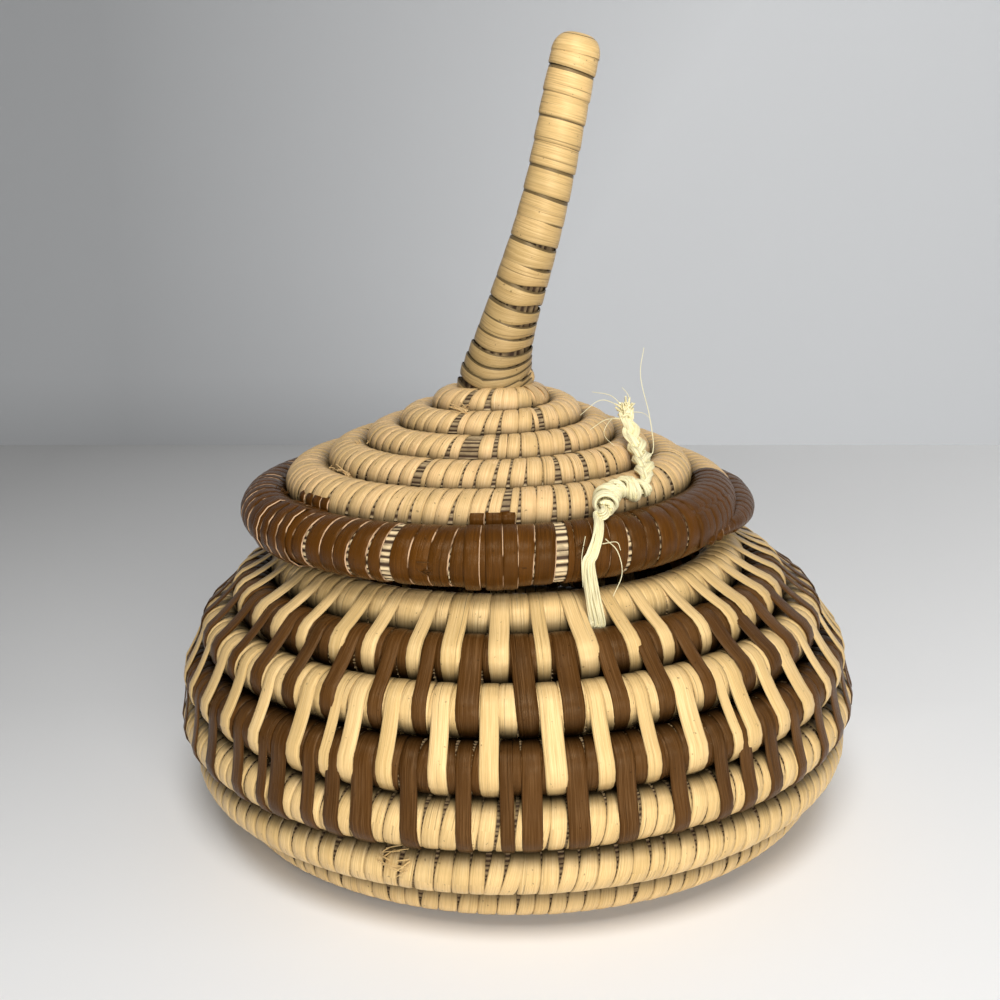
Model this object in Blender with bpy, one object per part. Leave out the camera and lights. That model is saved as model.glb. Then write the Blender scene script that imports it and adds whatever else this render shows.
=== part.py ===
"""Squat coiled basket with a conical lid, a leaning wrapped handle and a plaited fibre tie.

Metres, +Z up. The origin is the middle of the flat base, -Y is the front and +X is the right.
The body is one unbroken bundle wound from the middle of the base up to the mouth, and the lid is
another, wound the other way from the handle out to the rim. Rows are counted from the mouth, 1,
down to 7, and the lid's rings from the top one, 0, out to the rim, 5.
Azimuths are measured from the front and grow to the right, counter-clockwise seen from above.
"""

import math

import bmesh
import bpy
import numpy as np
from mathutils import Matrix

MM = 0.001
TURN = 2 * math.pi
POINTS_PER_TURN = 24
LINE_SAMPLES = 2000
SEAT_SAMPLES = 200
SMALL_SIDES = 8
OVER_FLAT_SHARE = math.sqrt(2) - 1

# The body's coil: its width lies along the wall, its depth through the wall
COIL_WIDTH = 9.9 * MM
COIL_DEPTH = 9.2 * MM
COIL_GAP = 0.8 * MM
COIL_START_RADIUS = 5.4 * MM
BASE_TURNS = 4.54
RISE_TURNS = 1.2
BINDING_START_TURNS = 0.3
ROWS = 7
MOUTH_END_TURNS = 0.5
TAPER_TURNS = 0.25
TAPER_END_SHARE = 0.4
WALL_SLOPES_DEG = (0, 37, 67, 90, 107, 130, 145, 155, 165)

# The strips bound over the coils, the same on the body and the lid
BINDING_THICKNESS = 0.45 * MM
BINDING_CLEARANCE = 0.3 * MM
BINDING_EDGE = 0.35 * MM
BINDING_END_GAP = 0.5 * MM
CHAMFER_SHARE = 0.58
INNER_CHAMFER_SHARE = 0.8

# The lid's coil: it grows from the top ring to the last plain ring, and the rim is thicker at first
LID_SHIFT = -4.3 * MM
LID_TOP_RADIUS = 9.5 * MM
LID_TOP_WIDTH = 8.0 * MM
LID_RING_WIDTH = 10.8 * MM
LID_RIM_WIDTH = 12.2 * MM
LID_END_WIDTH = 8.8 * MM
LID_DEPTH_LESS = 0.9 * MM
LID_GAP = 0.5 * MM
LID_SLOPE_DEG = 28
LID_RINGS = 5
LID_START_TURNS = 0.62
LID_START_WIDTH = 3.4 * MM
LID_START_INSET = 3.0 * MM
LID_BINDING_START_TURNS = 0.1
LID_END_TURNS = 0.86
LID_TAPER_TURNS = 0.1
LID_RIM_TURNS = 0.24
RING_WIDTH_SHARES = (0, 0, 0.07, 0.42, 1)
RIM_WRAP_SHARE = 0.3
SEAT_CLEARANCE = 0.3 * MM

# The handle: a stick that stands in the top ring, under a sleeve of overlapping wraps
HANDLE_RISE = 77.3 * MM
HANDLE_LEAN = 19.8 * MM
HANDLE_BOW = 1.6 * MM
HANDLE_FOOT_SHIFT = 0.6 * MM
HANDLE_TENON = 9.0 * MM
TENON_SHOULDER_SHARE = 0.6
CORE_RADIUS = 4.1 * MM
CORE_RINGS = 7
WRAP_FOOT_SHARE = 0.76
WRAP_TOP_RADIUS = 5.6 * MM
WRAP_CLEARANCE = 0.3 * MM
WRAP_RIDGE = 0.45 * MM
WRAP_RIDGE_SHARE = 0.75
WRAP_COUNT = 17
WRAP_SIDES = 10
WRAP_CROWN_SHARES = ((0.0, 1.0), (0.45, 0.86), (0.8, 0.52))
LEAN_BEND_SHARE = 0.08

# The strip that goes once round the handle's foot, higher at the right by twice its tilt
FOOT_STRIP_WIDTH = 4.2 * MM
FOOT_STRIP_THICKNESS = 0.6 * MM
FOOT_STRIP_TILT = 0.8 * MM
FOOT_STRIP_HEIGHT = 3.6 * MM
FOOT_STRIP_POINTS = 21

# The fibre tie: a flat strand from under row 1 over the rim, a knot and a plait on the lid
TIE_AZIMUTH_DEG = 20.5
TIE_WIDTH = 3.0 * MM
TIE_THICKNESS = 1.2 * MM
TIE_CLEARANCE = 0.3 * MM
TIE_TUCK = 2.0 * MM
TIE_ROW = 1.5
TIE_ROUTE_SHARES = (0.3, 0.65, 1.0)
TIE_RIM_POINTS = 6
TIE_OVER_DEG = 66
KNOT_LENGTH = 9.6 * MM
KNOT_HEIGHT = 5.6 * MM
KNOT_WIDTH = 7.0 * MM
KNOT_NEST = 0.8 * MM
KNOT_ROW = 0.5
KNOT_RINGS = 7
PLAIT_WIDTH = 4.4 * MM
PLAIT_THICKNESS = 2.6 * MM
PLAIT_START_DEG = 40
PLAIT_END_DEG = 58
PLAIT_START_RING = 4.3
PLAIT_END_RING = 2.85
PLAIT_POINTS = 14
TUFT_LENGTH = 7.0 * MM
TUFT_RADIUS = 2.3 * MM
TUFT_NECK = 1.2 * MM
TUFT_SHARES = (0.0, 0.4, 1.0)

# Colours and finishes: red, green, blue, roughness
NATURAL = (0.74, 0.56, 0.33, 0.5)
BROWN = (0.13, 0.055, 0.02, 0.4)
GRASS = (0.36, 0.25, 0.10, 0.85)
FIBRE = (0.86, 0.80, 0.52, 0.7)
STICK = (0.30, 0.19, 0.09, 0.7)

COIL_PITCH = COIL_WIDTH + COIL_GAP
BINDING_LIFT = BINDING_CLEARANCE + BINDING_THICKNESS
FRONT_TURN = BASE_TURNS + RISE_TURNS
COIL_TURNS = FRONT_TURN + ROWS - 1 + MOUTH_END_TURNS
LID_SLOPE = math.radians(LID_SLOPE_DEG)
TIE_AZIMUTH = math.radians(TIE_AZIMUTH_DEG)


def clear_scene():
    for obj in list(bpy.data.objects):
        bpy.data.objects.remove(obj)


def finish(name, look):
    """A plain finish from (red, green, blue, roughness)."""
    material = bpy.data.materials.new(name)
    material.use_nodes = True
    shader = material.node_tree.nodes["Principled BSDF"]
    shader.inputs["Base Color"].default_value = (*look[:3], 1.0)
    shader.inputs["Roughness"].default_value = look[3]
    shader.inputs["Metallic"].default_value = 0.0
    return material


def skin(name, rings, material, parent=None):
    """A closed body through rings of points. A ring of one point is a pole, and any other end is capped."""
    bm = bmesh.new()
    loops = [[bm.verts.new(point) for point in ring] for ring in rings]
    for low, high in zip(loops, loops[1:]):
        count = max(len(low), len(high))
        for i in range(count):
            j = (i + 1) % count
            corners = [low[i % len(low)], low[j % len(low)], high[j % len(high)], high[i % len(high)]]
            bm.faces.new(list(dict.fromkeys(corners)))
    for end in (loops[0], loops[-1]):
        if len(end) > 1:
            bm.faces.new(end)
    bmesh.ops.recalc_face_normals(bm, faces=bm.faces)
    mesh = bpy.data.meshes.new(name)
    bm.to_mesh(mesh)
    bm.free()
    mesh.materials.append(material)
    mesh.shade_smooth()
    mesh.set_sharp_from_angle(angle=math.radians(50))
    obj = bpy.data.objects.new(name, mesh)
    bpy.context.collection.objects.link(obj)
    if parent:
        mesh.transform(Matrix.Translation(-parent.location))
        obj.parent = parent
    return obj


def world(radius, azimuth, height, shift=0.0):
    """Points at a radius and azimuth about an upright axis that stands at x = shift."""
    radius, azimuth, height = np.broadcast_arrays(radius, azimuth, height)
    return np.stack([shift + radius * np.sin(azimuth), -radius * np.cos(azimuth), height], axis=-1)


def summed(values, step):
    """The running sum of values over equal steps, by the trapezium rule, from zero."""
    return np.concatenate([[0.0], np.cumsum((values[1:] + values[:-1]) / 2 * step)])


def body_line(turns):
    """Radius, height and wall slope of the body's coil after so many turns from its start.

    The coil advances one pitch per turn along the wall, whose slope bends evenly from row to row.
    """
    grid = np.linspace(0.0, COIL_TURNS, LINE_SAMPLES)
    knots = BASE_TURNS + np.concatenate([[0.0], RISE_TURNS + np.arange(len(WALL_SLOPES_DEG) - 1)])
    slopes = np.interp(grid, knots, np.radians(WALL_SLOPES_DEG))
    step = (grid[1] - grid[0]) * COIL_PITCH
    radii = COIL_START_RADIUS + summed(np.cos(slopes), step)
    heights = COIL_DEPTH / 2 + summed(np.sin(slopes), step)
    return np.interp(turns, grid, radii), np.interp(turns, grid, heights), np.interp(turns, grid, slopes)


def body_point(turns, out, along):
    """Points off the body's centre line: out through the wall, and along it towards the mouth.

    The underside is pressed flat where the basket stands.
    """
    radius, height, slope = body_line(turns)
    taper = np.clip((COIL_TURNS - turns) / TAPER_TURNS, TAPER_END_SHARE, 1.0)
    along = along * taper - (1 - taper) * COIL_WIDTH / 2
    out = out * taper
    radius = radius + out * np.sin(slope) + along * np.cos(slope)
    height = height - out * np.cos(slope) + along * np.sin(slope)
    return world(radius, (turns - FRONT_TURN) * TURN, np.maximum(height, 0.0))


def ring_width(turns):
    """The lid coil's width: it swells from the tapered start, whole rings hold the named shares, and
    the rim swells again from the last one and thins towards its end."""
    plain = LID_TOP_WIDTH + (LID_RING_WIDTH - LID_TOP_WIDTH) * np.interp(
        turns, np.arange(LID_RINGS), RING_WIDTH_SHARES)
    start = (LID_TOP_WIDTH - LID_START_WIDTH) * np.minimum(turns, 0.0) / LID_START_TURNS
    rim_marks = LID_RINGS + np.array([-LID_RIM_TURNS, -LID_RIM_TURNS / 2, 0.0, LID_END_TURNS])
    rim_widths = np.array([LID_RING_WIDTH, LID_RIM_WIDTH, LID_RIM_WIDTH, LID_END_WIDTH])
    return plain + start + np.interp(turns, rim_marks, rim_widths - LID_RING_WIDTH)


def lid_run(turns):
    """Distance down the lid's slope from the top ring: each turn lies half its own width, half the
    last one's and a gap below the last. Before its first whole turn the thin start lies inside the
    top ring."""
    turns = np.asarray(turns, float)
    whole = np.maximum(np.floor(turns), 0)
    part = np.maximum(turns - whole, 0.0)
    run = part * (ring_width(0.0) / 2 + ring_width(1.0) / 2 + LID_GAP)
    for ring in range(1, LID_RINGS + 1):
        lower = part + ring
        spacing = (ring_width(lower) + ring_width(lower - 1)) / 2 + LID_GAP
        run = run + np.where(whole >= ring, spacing, 0.0)
    return run + LID_START_INSET * np.minimum(turns, 0.0) / LID_START_TURNS


def lid_radius(turns):
    """Radius of the lid's centre line about its own axis."""
    return LID_TOP_RADIUS + lid_run(turns) * math.cos(LID_SLOPE)


def seat_height():
    """Height of the top ring's centre line at which the rim just clears the mouth's coil all round.

    Two turns of the lid can lie over the mouth, so each is tried where it exists.
    """
    mouth = np.linspace(COIL_TURNS - 1 - MOUTH_END_TURNS, COIL_TURNS, SEAT_SAMPLES)
    body_outer = COIL_DEPTH / 2 + BINDING_LIFT
    centre = body_point(mouth, 0.0, 0.0)
    offset_x = centre[:, 0] - LID_SHIFT
    distance = np.hypot(offset_x, centre[:, 1])
    azimuth = np.arctan2(offset_x, -centre[:, 1]) / TURN
    heights = []
    for turns in (LID_RINGS - azimuth, LID_RINGS + 1 - azimuth):
        reach = body_outer + ring_width(turns) / 2 + BINDING_LIFT + SEAT_CLEARANCE
        aside = np.minimum(np.abs(distance - lid_radius(turns)), reach)
        height = centre[:, 2] + np.sqrt(reach**2 - aside**2) + lid_run(turns) * math.sin(LID_SLOPE)
        heights.append(height[(turns < LID_RINGS + LID_END_TURNS) & (aside < reach)])
    return float(np.max(np.concatenate(heights)))


LID_TOP_HEIGHT = seat_height()


def lid_point(turns, out, along):
    """Points off the lid's centre line: out from the cone, and along it down towards the rim."""
    taper = np.clip((LID_RINGS + LID_END_TURNS - turns) / LID_TAPER_TURNS, TAPER_END_SHARE, 1.0)
    run = lid_run(turns) + along * taper - (1 - taper) * LID_RIM_WIDTH / 2
    out = out * taper
    radius = LID_TOP_RADIUS + run * math.cos(LID_SLOPE) + out * math.sin(LID_SLOPE)
    height = LID_TOP_HEIGHT - run * math.sin(LID_SLOPE) + out * math.cos(LID_SLOPE)
    return world(radius, (LID_RINGS - turns) * TURN, height, LID_SHIFT)


def on_body(row, azimuth, out):
    """A point off the body at any row, whole or between two, counted down from the mouth."""
    above = FRONT_TURN + ROWS - math.floor(row) + azimuth / TURN
    part = row - math.floor(row)
    return body_point(above, out, 0.0) * (1 - part) + body_point(above - 1, out, 0.0) * part


def on_lid(ring, azimuth, out):
    """A point off the lid at any ring, whole or between two, counted from the top one, 0."""
    upper = math.floor(ring) - azimuth / TURN
    part = ring - math.floor(ring)
    return lid_point(upper, out, 0.0) * (1 - part) + lid_point(upper + 1, out, 0.0) * part


def bundle_section(width, depth):
    """The corners of a bundle, a rectangle with cut corners, pinched inside, as (out, along) pairs."""
    half, deep = width / 2, depth / 2
    cut, inner_cut = CHAMFER_SHARE * deep, INNER_CHAMFER_SHARE * deep
    side = [(deep, half - cut), (deep - cut, half), (inner_cut - deep, half), (-deep, half - inner_cut)]
    return side + [(out, -along) for out, along in reversed(side)]


def binding_section(width, depth):
    """The corners of a strip bound over a bundle's outer face, as (out, along) pairs."""
    cut = CHAMFER_SHARE * depth / 2
    half, deep = width / 2, depth / 2
    edge = half - BINDING_EDGE
    faces = []
    for lift in (BINDING_LIFT, BINDING_CLEARANCE):
        shoulder = half - cut + lift * OVER_FLAT_SHARE
        low = deep + half - cut + lift * math.sqrt(2) - edge
        faces.append([(low, edge), (deep + lift, shoulder), (deep + lift, -shoulder), (low, -edge)])
    return faces[0] + faces[1][::-1]


def rim_binding_section(width, depth):
    """The corners of a strip bound over the rim's outer and lower faces, as (out, along) pairs."""
    half, deep = width / 2, depth / 2
    cut = CHAMFER_SHARE * deep
    faces = []
    for lift in (BINDING_LIFT, BINDING_CLEARANCE):
        shoulder = lift * OVER_FLAT_SHARE
        faces.append([(deep + lift, cut - half), (deep + lift, half - cut + shoulder),
                      (deep - cut + shoulder, half + lift), (-RIM_WRAP_SHARE * deep, half + lift)])
    return faces[0] + faces[1][::-1]


def stations(first, last):
    """Turn counts from first to last, with every whole sample between them."""
    between = np.arange(math.ceil(first * POINTS_PER_TURN), math.floor(last * POINTS_PER_TURN) + 1)
    return np.unique(np.concatenate([[first], between / POINTS_PER_TURN, [last]]).round(9))


def swept(name, point, section, turns, material, parent=None):
    """A body whose section, fixed or a function of the turn count, follows a coil's centre line."""
    rings = []
    for turn in turns:
        corners = section(turn) if callable(section) else section
        rings.append([tuple(point(turn, out, along)) for out, along in corners])
    return skin(name, rings, material, parent)


def least_gap(obj, sides):
    """The least distance in millimetres between a coil's corners that lie over half a turn apart."""
    points = np.array([obj.matrix_world @ v.co for v in obj.data.vertices])
    order = np.repeat(np.arange(len(points) // sides), sides)
    least = np.inf
    for i in range(len(points) // sides):
        apart = np.abs(order - i) > POINTS_PER_TURN / 2
        if apart.any():
            gaps = np.linalg.norm(points[order == i][:, None] - points[apart][None], axis=2)
            least = min(least, float(gaps.min()))
    return least / MM


def make_body(looks):
    """The body's coil and the strips bound over each row, brown on the second and fourth."""
    section = bundle_section(COIL_WIDTH, COIL_DEPTH)
    coil = swept("body_coil", body_point, section, stations(0.0, COIL_TURNS), looks["grass"])
    print(f"body_coil: least gap to itself {least_gap(coil, len(section)):.2f} mm")
    over = binding_section(COIL_WIDTH, COIL_DEPTH)
    for row in range(1, ROWS + 1):
        colour = "brown" if row in (2, 4) else "natural"
        middle = FRONT_TURN + ROWS - row
        gap = BINDING_END_GAP / float(body_line(middle)[0]) / TURN
        first = middle - 0.5 + gap if row < ROWS else middle - BINDING_START_TURNS
        last = middle + 0.5 - gap if row > 1 else COIL_TURNS - TAPER_TURNS
        swept(f"{colour}_binding_row_{row}", body_point, over, stations(first, last), looks[colour])


def lid_sections(turn):
    """Width and depth of the lid's bundle."""
    width = float(ring_width(turn))
    return width, width - LID_DEPTH_LESS


def gap_turns(turn):
    """Half the gap between two bindings' ends on the lid, as a share of a turn."""
    return BINDING_END_GAP / float(lid_radius(max(turn, 0.0))) / TURN


def make_lid(looks, parent):
    """The lid's coil and the strips bound over it, brown from the splice at the right onwards."""
    first, last = -LID_START_TURNS, LID_RINGS + LID_END_TURNS
    coil = swept("lid_coil", lid_point, lambda turn: bundle_section(*lid_sections(turn)),
                 stations(first, last), looks["grass"], parent)
    bpy.context.view_layer.update()
    print(f"lid_coil: least gap to itself {least_gap(coil, len(bundle_section(*lid_sections(first)))):.2f} mm")
    rim_start = LID_RINGS - LID_RIM_TURNS
    for ring in range(LID_RINGS):
        middle = float(ring)
        start = -LID_BINDING_START_TURNS if ring == 0 else middle - 0.5
        end = rim_start if ring == LID_RINGS - 1 else middle + 0.5
        swept(f"natural_binding_lid_ring_{ring + 1}", lid_point,
              lambda turn: binding_section(*lid_sections(turn)),
              stations(start + gap_turns(start), end - gap_turns(end)), looks["natural"], parent)
    beyond = last - 1 + BINDING_END_GAP / LID_RIM_WIDTH / TURN
    swept("brown_binding_lid_splice", lid_point, lambda turn: binding_section(*lid_sections(turn)),
          stations(rim_start + gap_turns(rim_start), beyond - gap_turns(beyond)), looks["brown"], parent)
    swept("brown_binding_lid_rim", lid_point, lambda turn: rim_binding_section(*lid_sections(turn)),
          stations(beyond + gap_turns(beyond), last - LID_TAPER_TURNS), looks["brown"], parent)


def handle_line(share):
    """The handle's centre line and direction from its foot, 0, to its tip, 1: upright in the ring,
    bending within a short share of its rise and then leaning to the right in a shallow bow."""
    foot_height = LID_TOP_HEIGHT + lid_sections(0.0)[1] / 2 + BINDING_LIFT + WRAP_CLEARANCE
    lean = HANDLE_LEAN / HANDLE_RISE
    above = max(share, 0.0)
    bent = above - LEAN_BEND_SHARE * (1 - math.exp(-above / LEAN_BEND_SHARE))
    slope = lean * (1 - math.exp(-above / LEAN_BEND_SHARE))
    slope += math.pi * HANDLE_BOW / HANDLE_RISE * math.sin(TURN * above)
    bowed = HANDLE_BOW * math.sin(math.pi * above) ** 2
    foot = LID_SHIFT - HANDLE_FOOT_SHIFT
    middle = np.array([foot + lean * bent * HANDLE_RISE + bowed, 0.0, foot_height + share * HANDLE_RISE])
    return middle, np.array([slope, 0.0, 1.0]) / math.hypot(slope, 1.0)


def handle_ring(share, radius, sides):
    """A ring of points square to the handle's centre line, or its one point where the radius is zero."""
    middle, along = handle_line(share)
    if radius == 0:
        return [tuple(middle)]
    side = np.array([along[2], 0.0, -along[0]])
    front = np.array([0.0, 1.0, 0.0])
    angles = np.arange(sides) * TURN / sides
    return [tuple(middle + radius * (math.cos(a) * side + math.sin(a) * front)) for a in angles]


def wrap_radius(share):
    """The sleeve's radius: a share of the top ring's at the foot, narrowing quickly above it."""
    foot_radius = WRAP_FOOT_SHARE * LID_TOP_RADIUS
    return WRAP_TOP_RADIUS + (foot_radius - WRAP_TOP_RADIUS) * (1 - share) ** 2


def make_handle(looks, parent):
    """The stick that stands in the top ring, and the sleeve of wraps round it, closed over its tip."""
    crown = WRAP_TOP_RADIUS / HANDLE_RISE
    core_top = 1 - (WRAP_CLEARANCE + BINDING_THICKNESS * 2) / HANDLE_RISE - crown / 2
    tenon = -HANDLE_TENON / HANDLE_RISE
    core = [(tenon, CORE_RADIUS * TAPER_END_SHARE), (tenon * TENON_SHOULDER_SHARE, CORE_RADIUS), (0.0, CORE_RADIUS)]
    core += [(share, CORE_RADIUS) for share in np.linspace(0.0, core_top, CORE_RINGS)[1:]]
    skin("handle_core", [handle_ring(s, r, WRAP_SIDES) for s, r in core], looks["stick"], parent)

    bore = CORE_RADIUS + WRAP_CLEARANCE
    inner = [(share, bore) for share in np.linspace(0.0, core_top, CORE_RINGS)]
    inner.append((core_top + WRAP_CLEARANCE / HANDLE_RISE, 0.0))
    outer = []
    for wrap in range(WRAP_COUNT):
        low = (1 - crown) * wrap / WRAP_COUNT
        ridge = (1 - crown) * (wrap + WRAP_RIDGE_SHARE) / WRAP_COUNT
        outer.append((low, wrap_radius(low) - WRAP_RIDGE / 2))
        outer.append((ridge, wrap_radius(ridge) + WRAP_RIDGE / 2))
    outer += [(1 - crown + crown * rise, WRAP_TOP_RADIUS * share) for rise, share in WRAP_CROWN_SHARES]
    outer.append((1.0, 0.0))
    profile = inner[::-1] + outer
    skin("handle_wrap", [handle_ring(s, r, WRAP_SIDES) for s, r in profile], looks["natural"], parent)


def strip_line(name, points, across, width, thickness, material, parent=None):
    """A flat strand with six-sided section along points, its width lying along across."""
    points = np.asarray(points)
    along = np.gradient(points, axis=0)
    along /= np.linalg.norm(along, axis=1)[:, None]
    rings = []
    for point, forward in zip(points, along):
        side = across - forward * (across @ forward)
        side = side / np.linalg.norm(side)
        up = np.cross(side, forward)
        edge = width / 2 - thickness / 2
        rings.append([tuple(point + side * s + up * u) for s, u in (
            (width / 2, 0.0), (edge, thickness / 2), (-edge, thickness / 2),
            (-width / 2, 0.0), (-edge, -thickness / 2), (edge, -thickness / 2))])
    return skin(name, rings, material, parent)


def make_foot_strip(looks, parent):
    """The strip that goes once round the handle's foot, a little higher at the right."""
    middle, along = handle_line(FOOT_STRIP_HEIGHT / HANDLE_RISE)
    side = np.array([along[2], 0.0, -along[0]])
    front = np.array([0.0, -1.0, 0.0])
    radius = wrap_radius(0.0) + WRAP_RIDGE / 2 + WRAP_CLEARANCE + FOOT_STRIP_THICKNESS / 2
    radius = radius / math.cos(TURN / WRAP_SIDES / 2)
    gap = BINDING_END_GAP / radius
    angles = np.linspace(gap, TURN - gap, FOOT_STRIP_POINTS)
    points = [middle + along * FOOT_STRIP_TILT * math.cos(a)
              + radius * (side * math.cos(a) - front * math.sin(a)) for a in angles]
    strip_line("handle_foot_strip", points, along, FOOT_STRIP_WIDTH, FOOT_STRIP_THICKNESS,
               looks["natural"], parent)


def rim_turns_at(azimuth):
    """The turn count at which the lid's rim passes an azimuth at the front."""
    return LID_RINGS - azimuth / TURN


def tie_plane():
    """The rim's centre at the tie, the way out from it, the way across it and the strand's reach."""
    turns = rim_turns_at(TIE_AZIMUTH)
    centre = lid_point(turns, 0.0, 0.0)
    away = np.array([math.sin(TIE_AZIMUTH), -math.cos(TIE_AZIMUTH), 0.0])
    across = np.array([math.cos(TIE_AZIMUTH), math.sin(TIE_AZIMUTH), 0.0])
    width, depth = lid_sections(turns)
    shoulder = width / 2 * (1 - CHAMFER_SHARE) + BINDING_LIFT * OVER_FLAT_SHARE
    reach = math.hypot(width / 2 + BINDING_LIFT, shoulder) + TIE_CLEARANCE + TIE_THICKNESS / 2
    return centre, away, across, reach


def hinge_point():
    """Where the tie folds: the strand's outer face at half the rim's height."""
    centre, away, _, reach = tie_plane()
    return centre + away * (reach + TIE_THICKNESS / 2)


def make_tie(looks, lid):
    """The loop tucked under row 1, the strand over the rim, the knot, the plait and its tuft."""
    centre, away, across, reach = tie_plane()
    up = np.array([0.0, 0.0, 1.0])
    strand = dict(across=across, width=TIE_WIDTH, thickness=TIE_THICKNESS, material=looks["fibre"])
    fold = centre + away * reach
    body_azimuth = math.atan2(fold[0], -fold[1])
    outer = COIL_DEPTH / 2 + BINDING_LIFT
    tucked = on_body(TIE_ROW, body_azimuth, outer - TIE_TUCK + TIE_CLEARANCE)
    clear = on_body(TIE_ROW, body_azimuth, outer + TIE_THICKNESS)
    below = fold - up * TIE_CLEARANCE / 2
    route = [tucked, (tucked + clear) / 2, clear]
    route += [clear + (below - clear) * share for share in TIE_ROUTE_SHARES]
    strip_line("tie_loop", route, **strand)

    over = [fold + up * TIE_CLEARANCE / 2]
    for angle in np.radians(np.linspace(0, TIE_OVER_DEG, TIE_RIM_POINTS)[1:]):
        over.append(centre + (away * math.cos(angle) + up * math.sin(angle)) * reach)
    strip_line("tie_strand", over, parent=lid, **strand)

    knot_azimuth = TIE_AZIMUTH + KNOT_LENGTH / 4 / float(lid_radius(rim_turns_at(TIE_AZIMUTH)))
    knot_out = lid_sections(LID_RINGS - 1)[1] / 2 + BINDING_LIFT + KNOT_HEIGHT / 2 - KNOT_NEST
    make_knot(looks["fibre"], lid, on_lid(LID_RINGS - KNOT_ROW, knot_azimuth, knot_out), across)

    shares = np.linspace(0.0, 1.0, PLAIT_POINTS)
    azimuths = np.radians(PLAIT_START_DEG + (PLAIT_END_DEG - PLAIT_START_DEG) * shares)
    rings = PLAIT_START_RING + (PLAIT_END_RING - PLAIT_START_RING) * shares
    lift = BINDING_LIFT + TIE_CLEARANCE + PLAIT_THICKNESS / 2
    plait = [on_lid(ring, azimuth, lid_sections(ring)[1] / 2 + lift) for ring, azimuth in zip(rings, azimuths)]
    strip_line("tie_plait", plait, across, PLAIT_WIDTH, PLAIT_THICKNESS, looks["fibre"], lid)
    make_tuft(looks["fibre"], lid, np.array(plait[-2]), np.array(plait[-1]))


def make_knot(material, parent, middle, across):
    """An egg-shaped lump, longest across the tie, that lies in the valley above the rim."""
    out = np.array([math.sin(LID_SLOPE) * across[1], -math.sin(LID_SLOPE) * across[0], math.cos(LID_SLOPE)])
    down = np.cross(across, out)
    rings = []
    for polar in np.linspace(0.0, math.pi, KNOT_RINGS)[1:-1]:
        ahead = middle + across * math.cos(polar) * KNOT_LENGTH / 2
        girth = math.sin(polar)
        rings.append([tuple(ahead + out * math.cos(a) * girth * KNOT_HEIGHT / 2
                            + down * math.sin(a) * girth * KNOT_WIDTH / 2)
                      for a in np.arange(SMALL_SIDES) * TURN / SMALL_SIDES])
    tips = [[tuple(middle + across * side * KNOT_LENGTH / 2)] for side in (1, -1)]
    skin("tie_knot", [tips[0], *rings, tips[1]], material, parent)


def make_tuft(material, parent, before, end):
    """The plait's frayed end, a brush of fibres that widens as it stands up from the lid."""
    forward = end - before
    forward = forward / np.linalg.norm(forward) + np.array([0.0, 0.0, 1.0])
    forward = forward / np.linalg.norm(forward)
    side = np.cross(forward, np.array([0.0, 1.0, 0.0]))
    side = side / np.linalg.norm(side)
    other = np.cross(forward, side)
    start = end + forward * (PLAIT_THICKNESS / 2 + TIE_CLEARANCE)
    rings = []
    for share in TUFT_SHARES:
        radius = TUFT_NECK + (TUFT_RADIUS - TUFT_NECK) * share
        middle = start + forward * TUFT_LENGTH * share
        rings.append([tuple(middle + radius * (side * math.cos(a) + other * math.sin(a)))
                      for a in np.arange(SMALL_SIDES) * TURN / SMALL_SIDES])
    skin("tie_tuft", rings, material, parent)


def main():
    clear_scene()
    looks = {
        "natural": finish("natural strip", NATURAL),
        "brown": finish("brown strip", BROWN),
        "grass": finish("grass bundle", GRASS),
        "fibre": finish("tie fibre", FIBRE),
        "stick": finish("handle stick", STICK),
    }
    lid = bpy.data.objects.new("lid_hinge", None)
    lid.location = hinge_point()
    bpy.context.collection.objects.link(lid)
    bpy.context.view_layer.update()
    make_body(looks)
    make_lid(looks, lid)
    make_handle(looks, lid)
    make_foot_strip(looks, lid)
    make_tie(looks, lid)
    print("hinge at", [round(float(v) / MM, 2) for v in lid.location],
          "rim height", round(float(lid_point(LID_RINGS, 0.0, 0.0)[2]) / MM, 2))


main()
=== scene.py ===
"""Looks of a squat coiled basket: grass coils bound with natural and brown leaf strips, a coiled lid
with a thick brown rim, a leaning wrapped handle and a pale fibre tie.

Metres, +Z up, -Y the front. Rows are counted from the mouth, 1, down to 7. Azimuths are measured
from the front and grow to the right, counter-clockwise seen from above.
"""

import math
from collections import namedtuple

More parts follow.
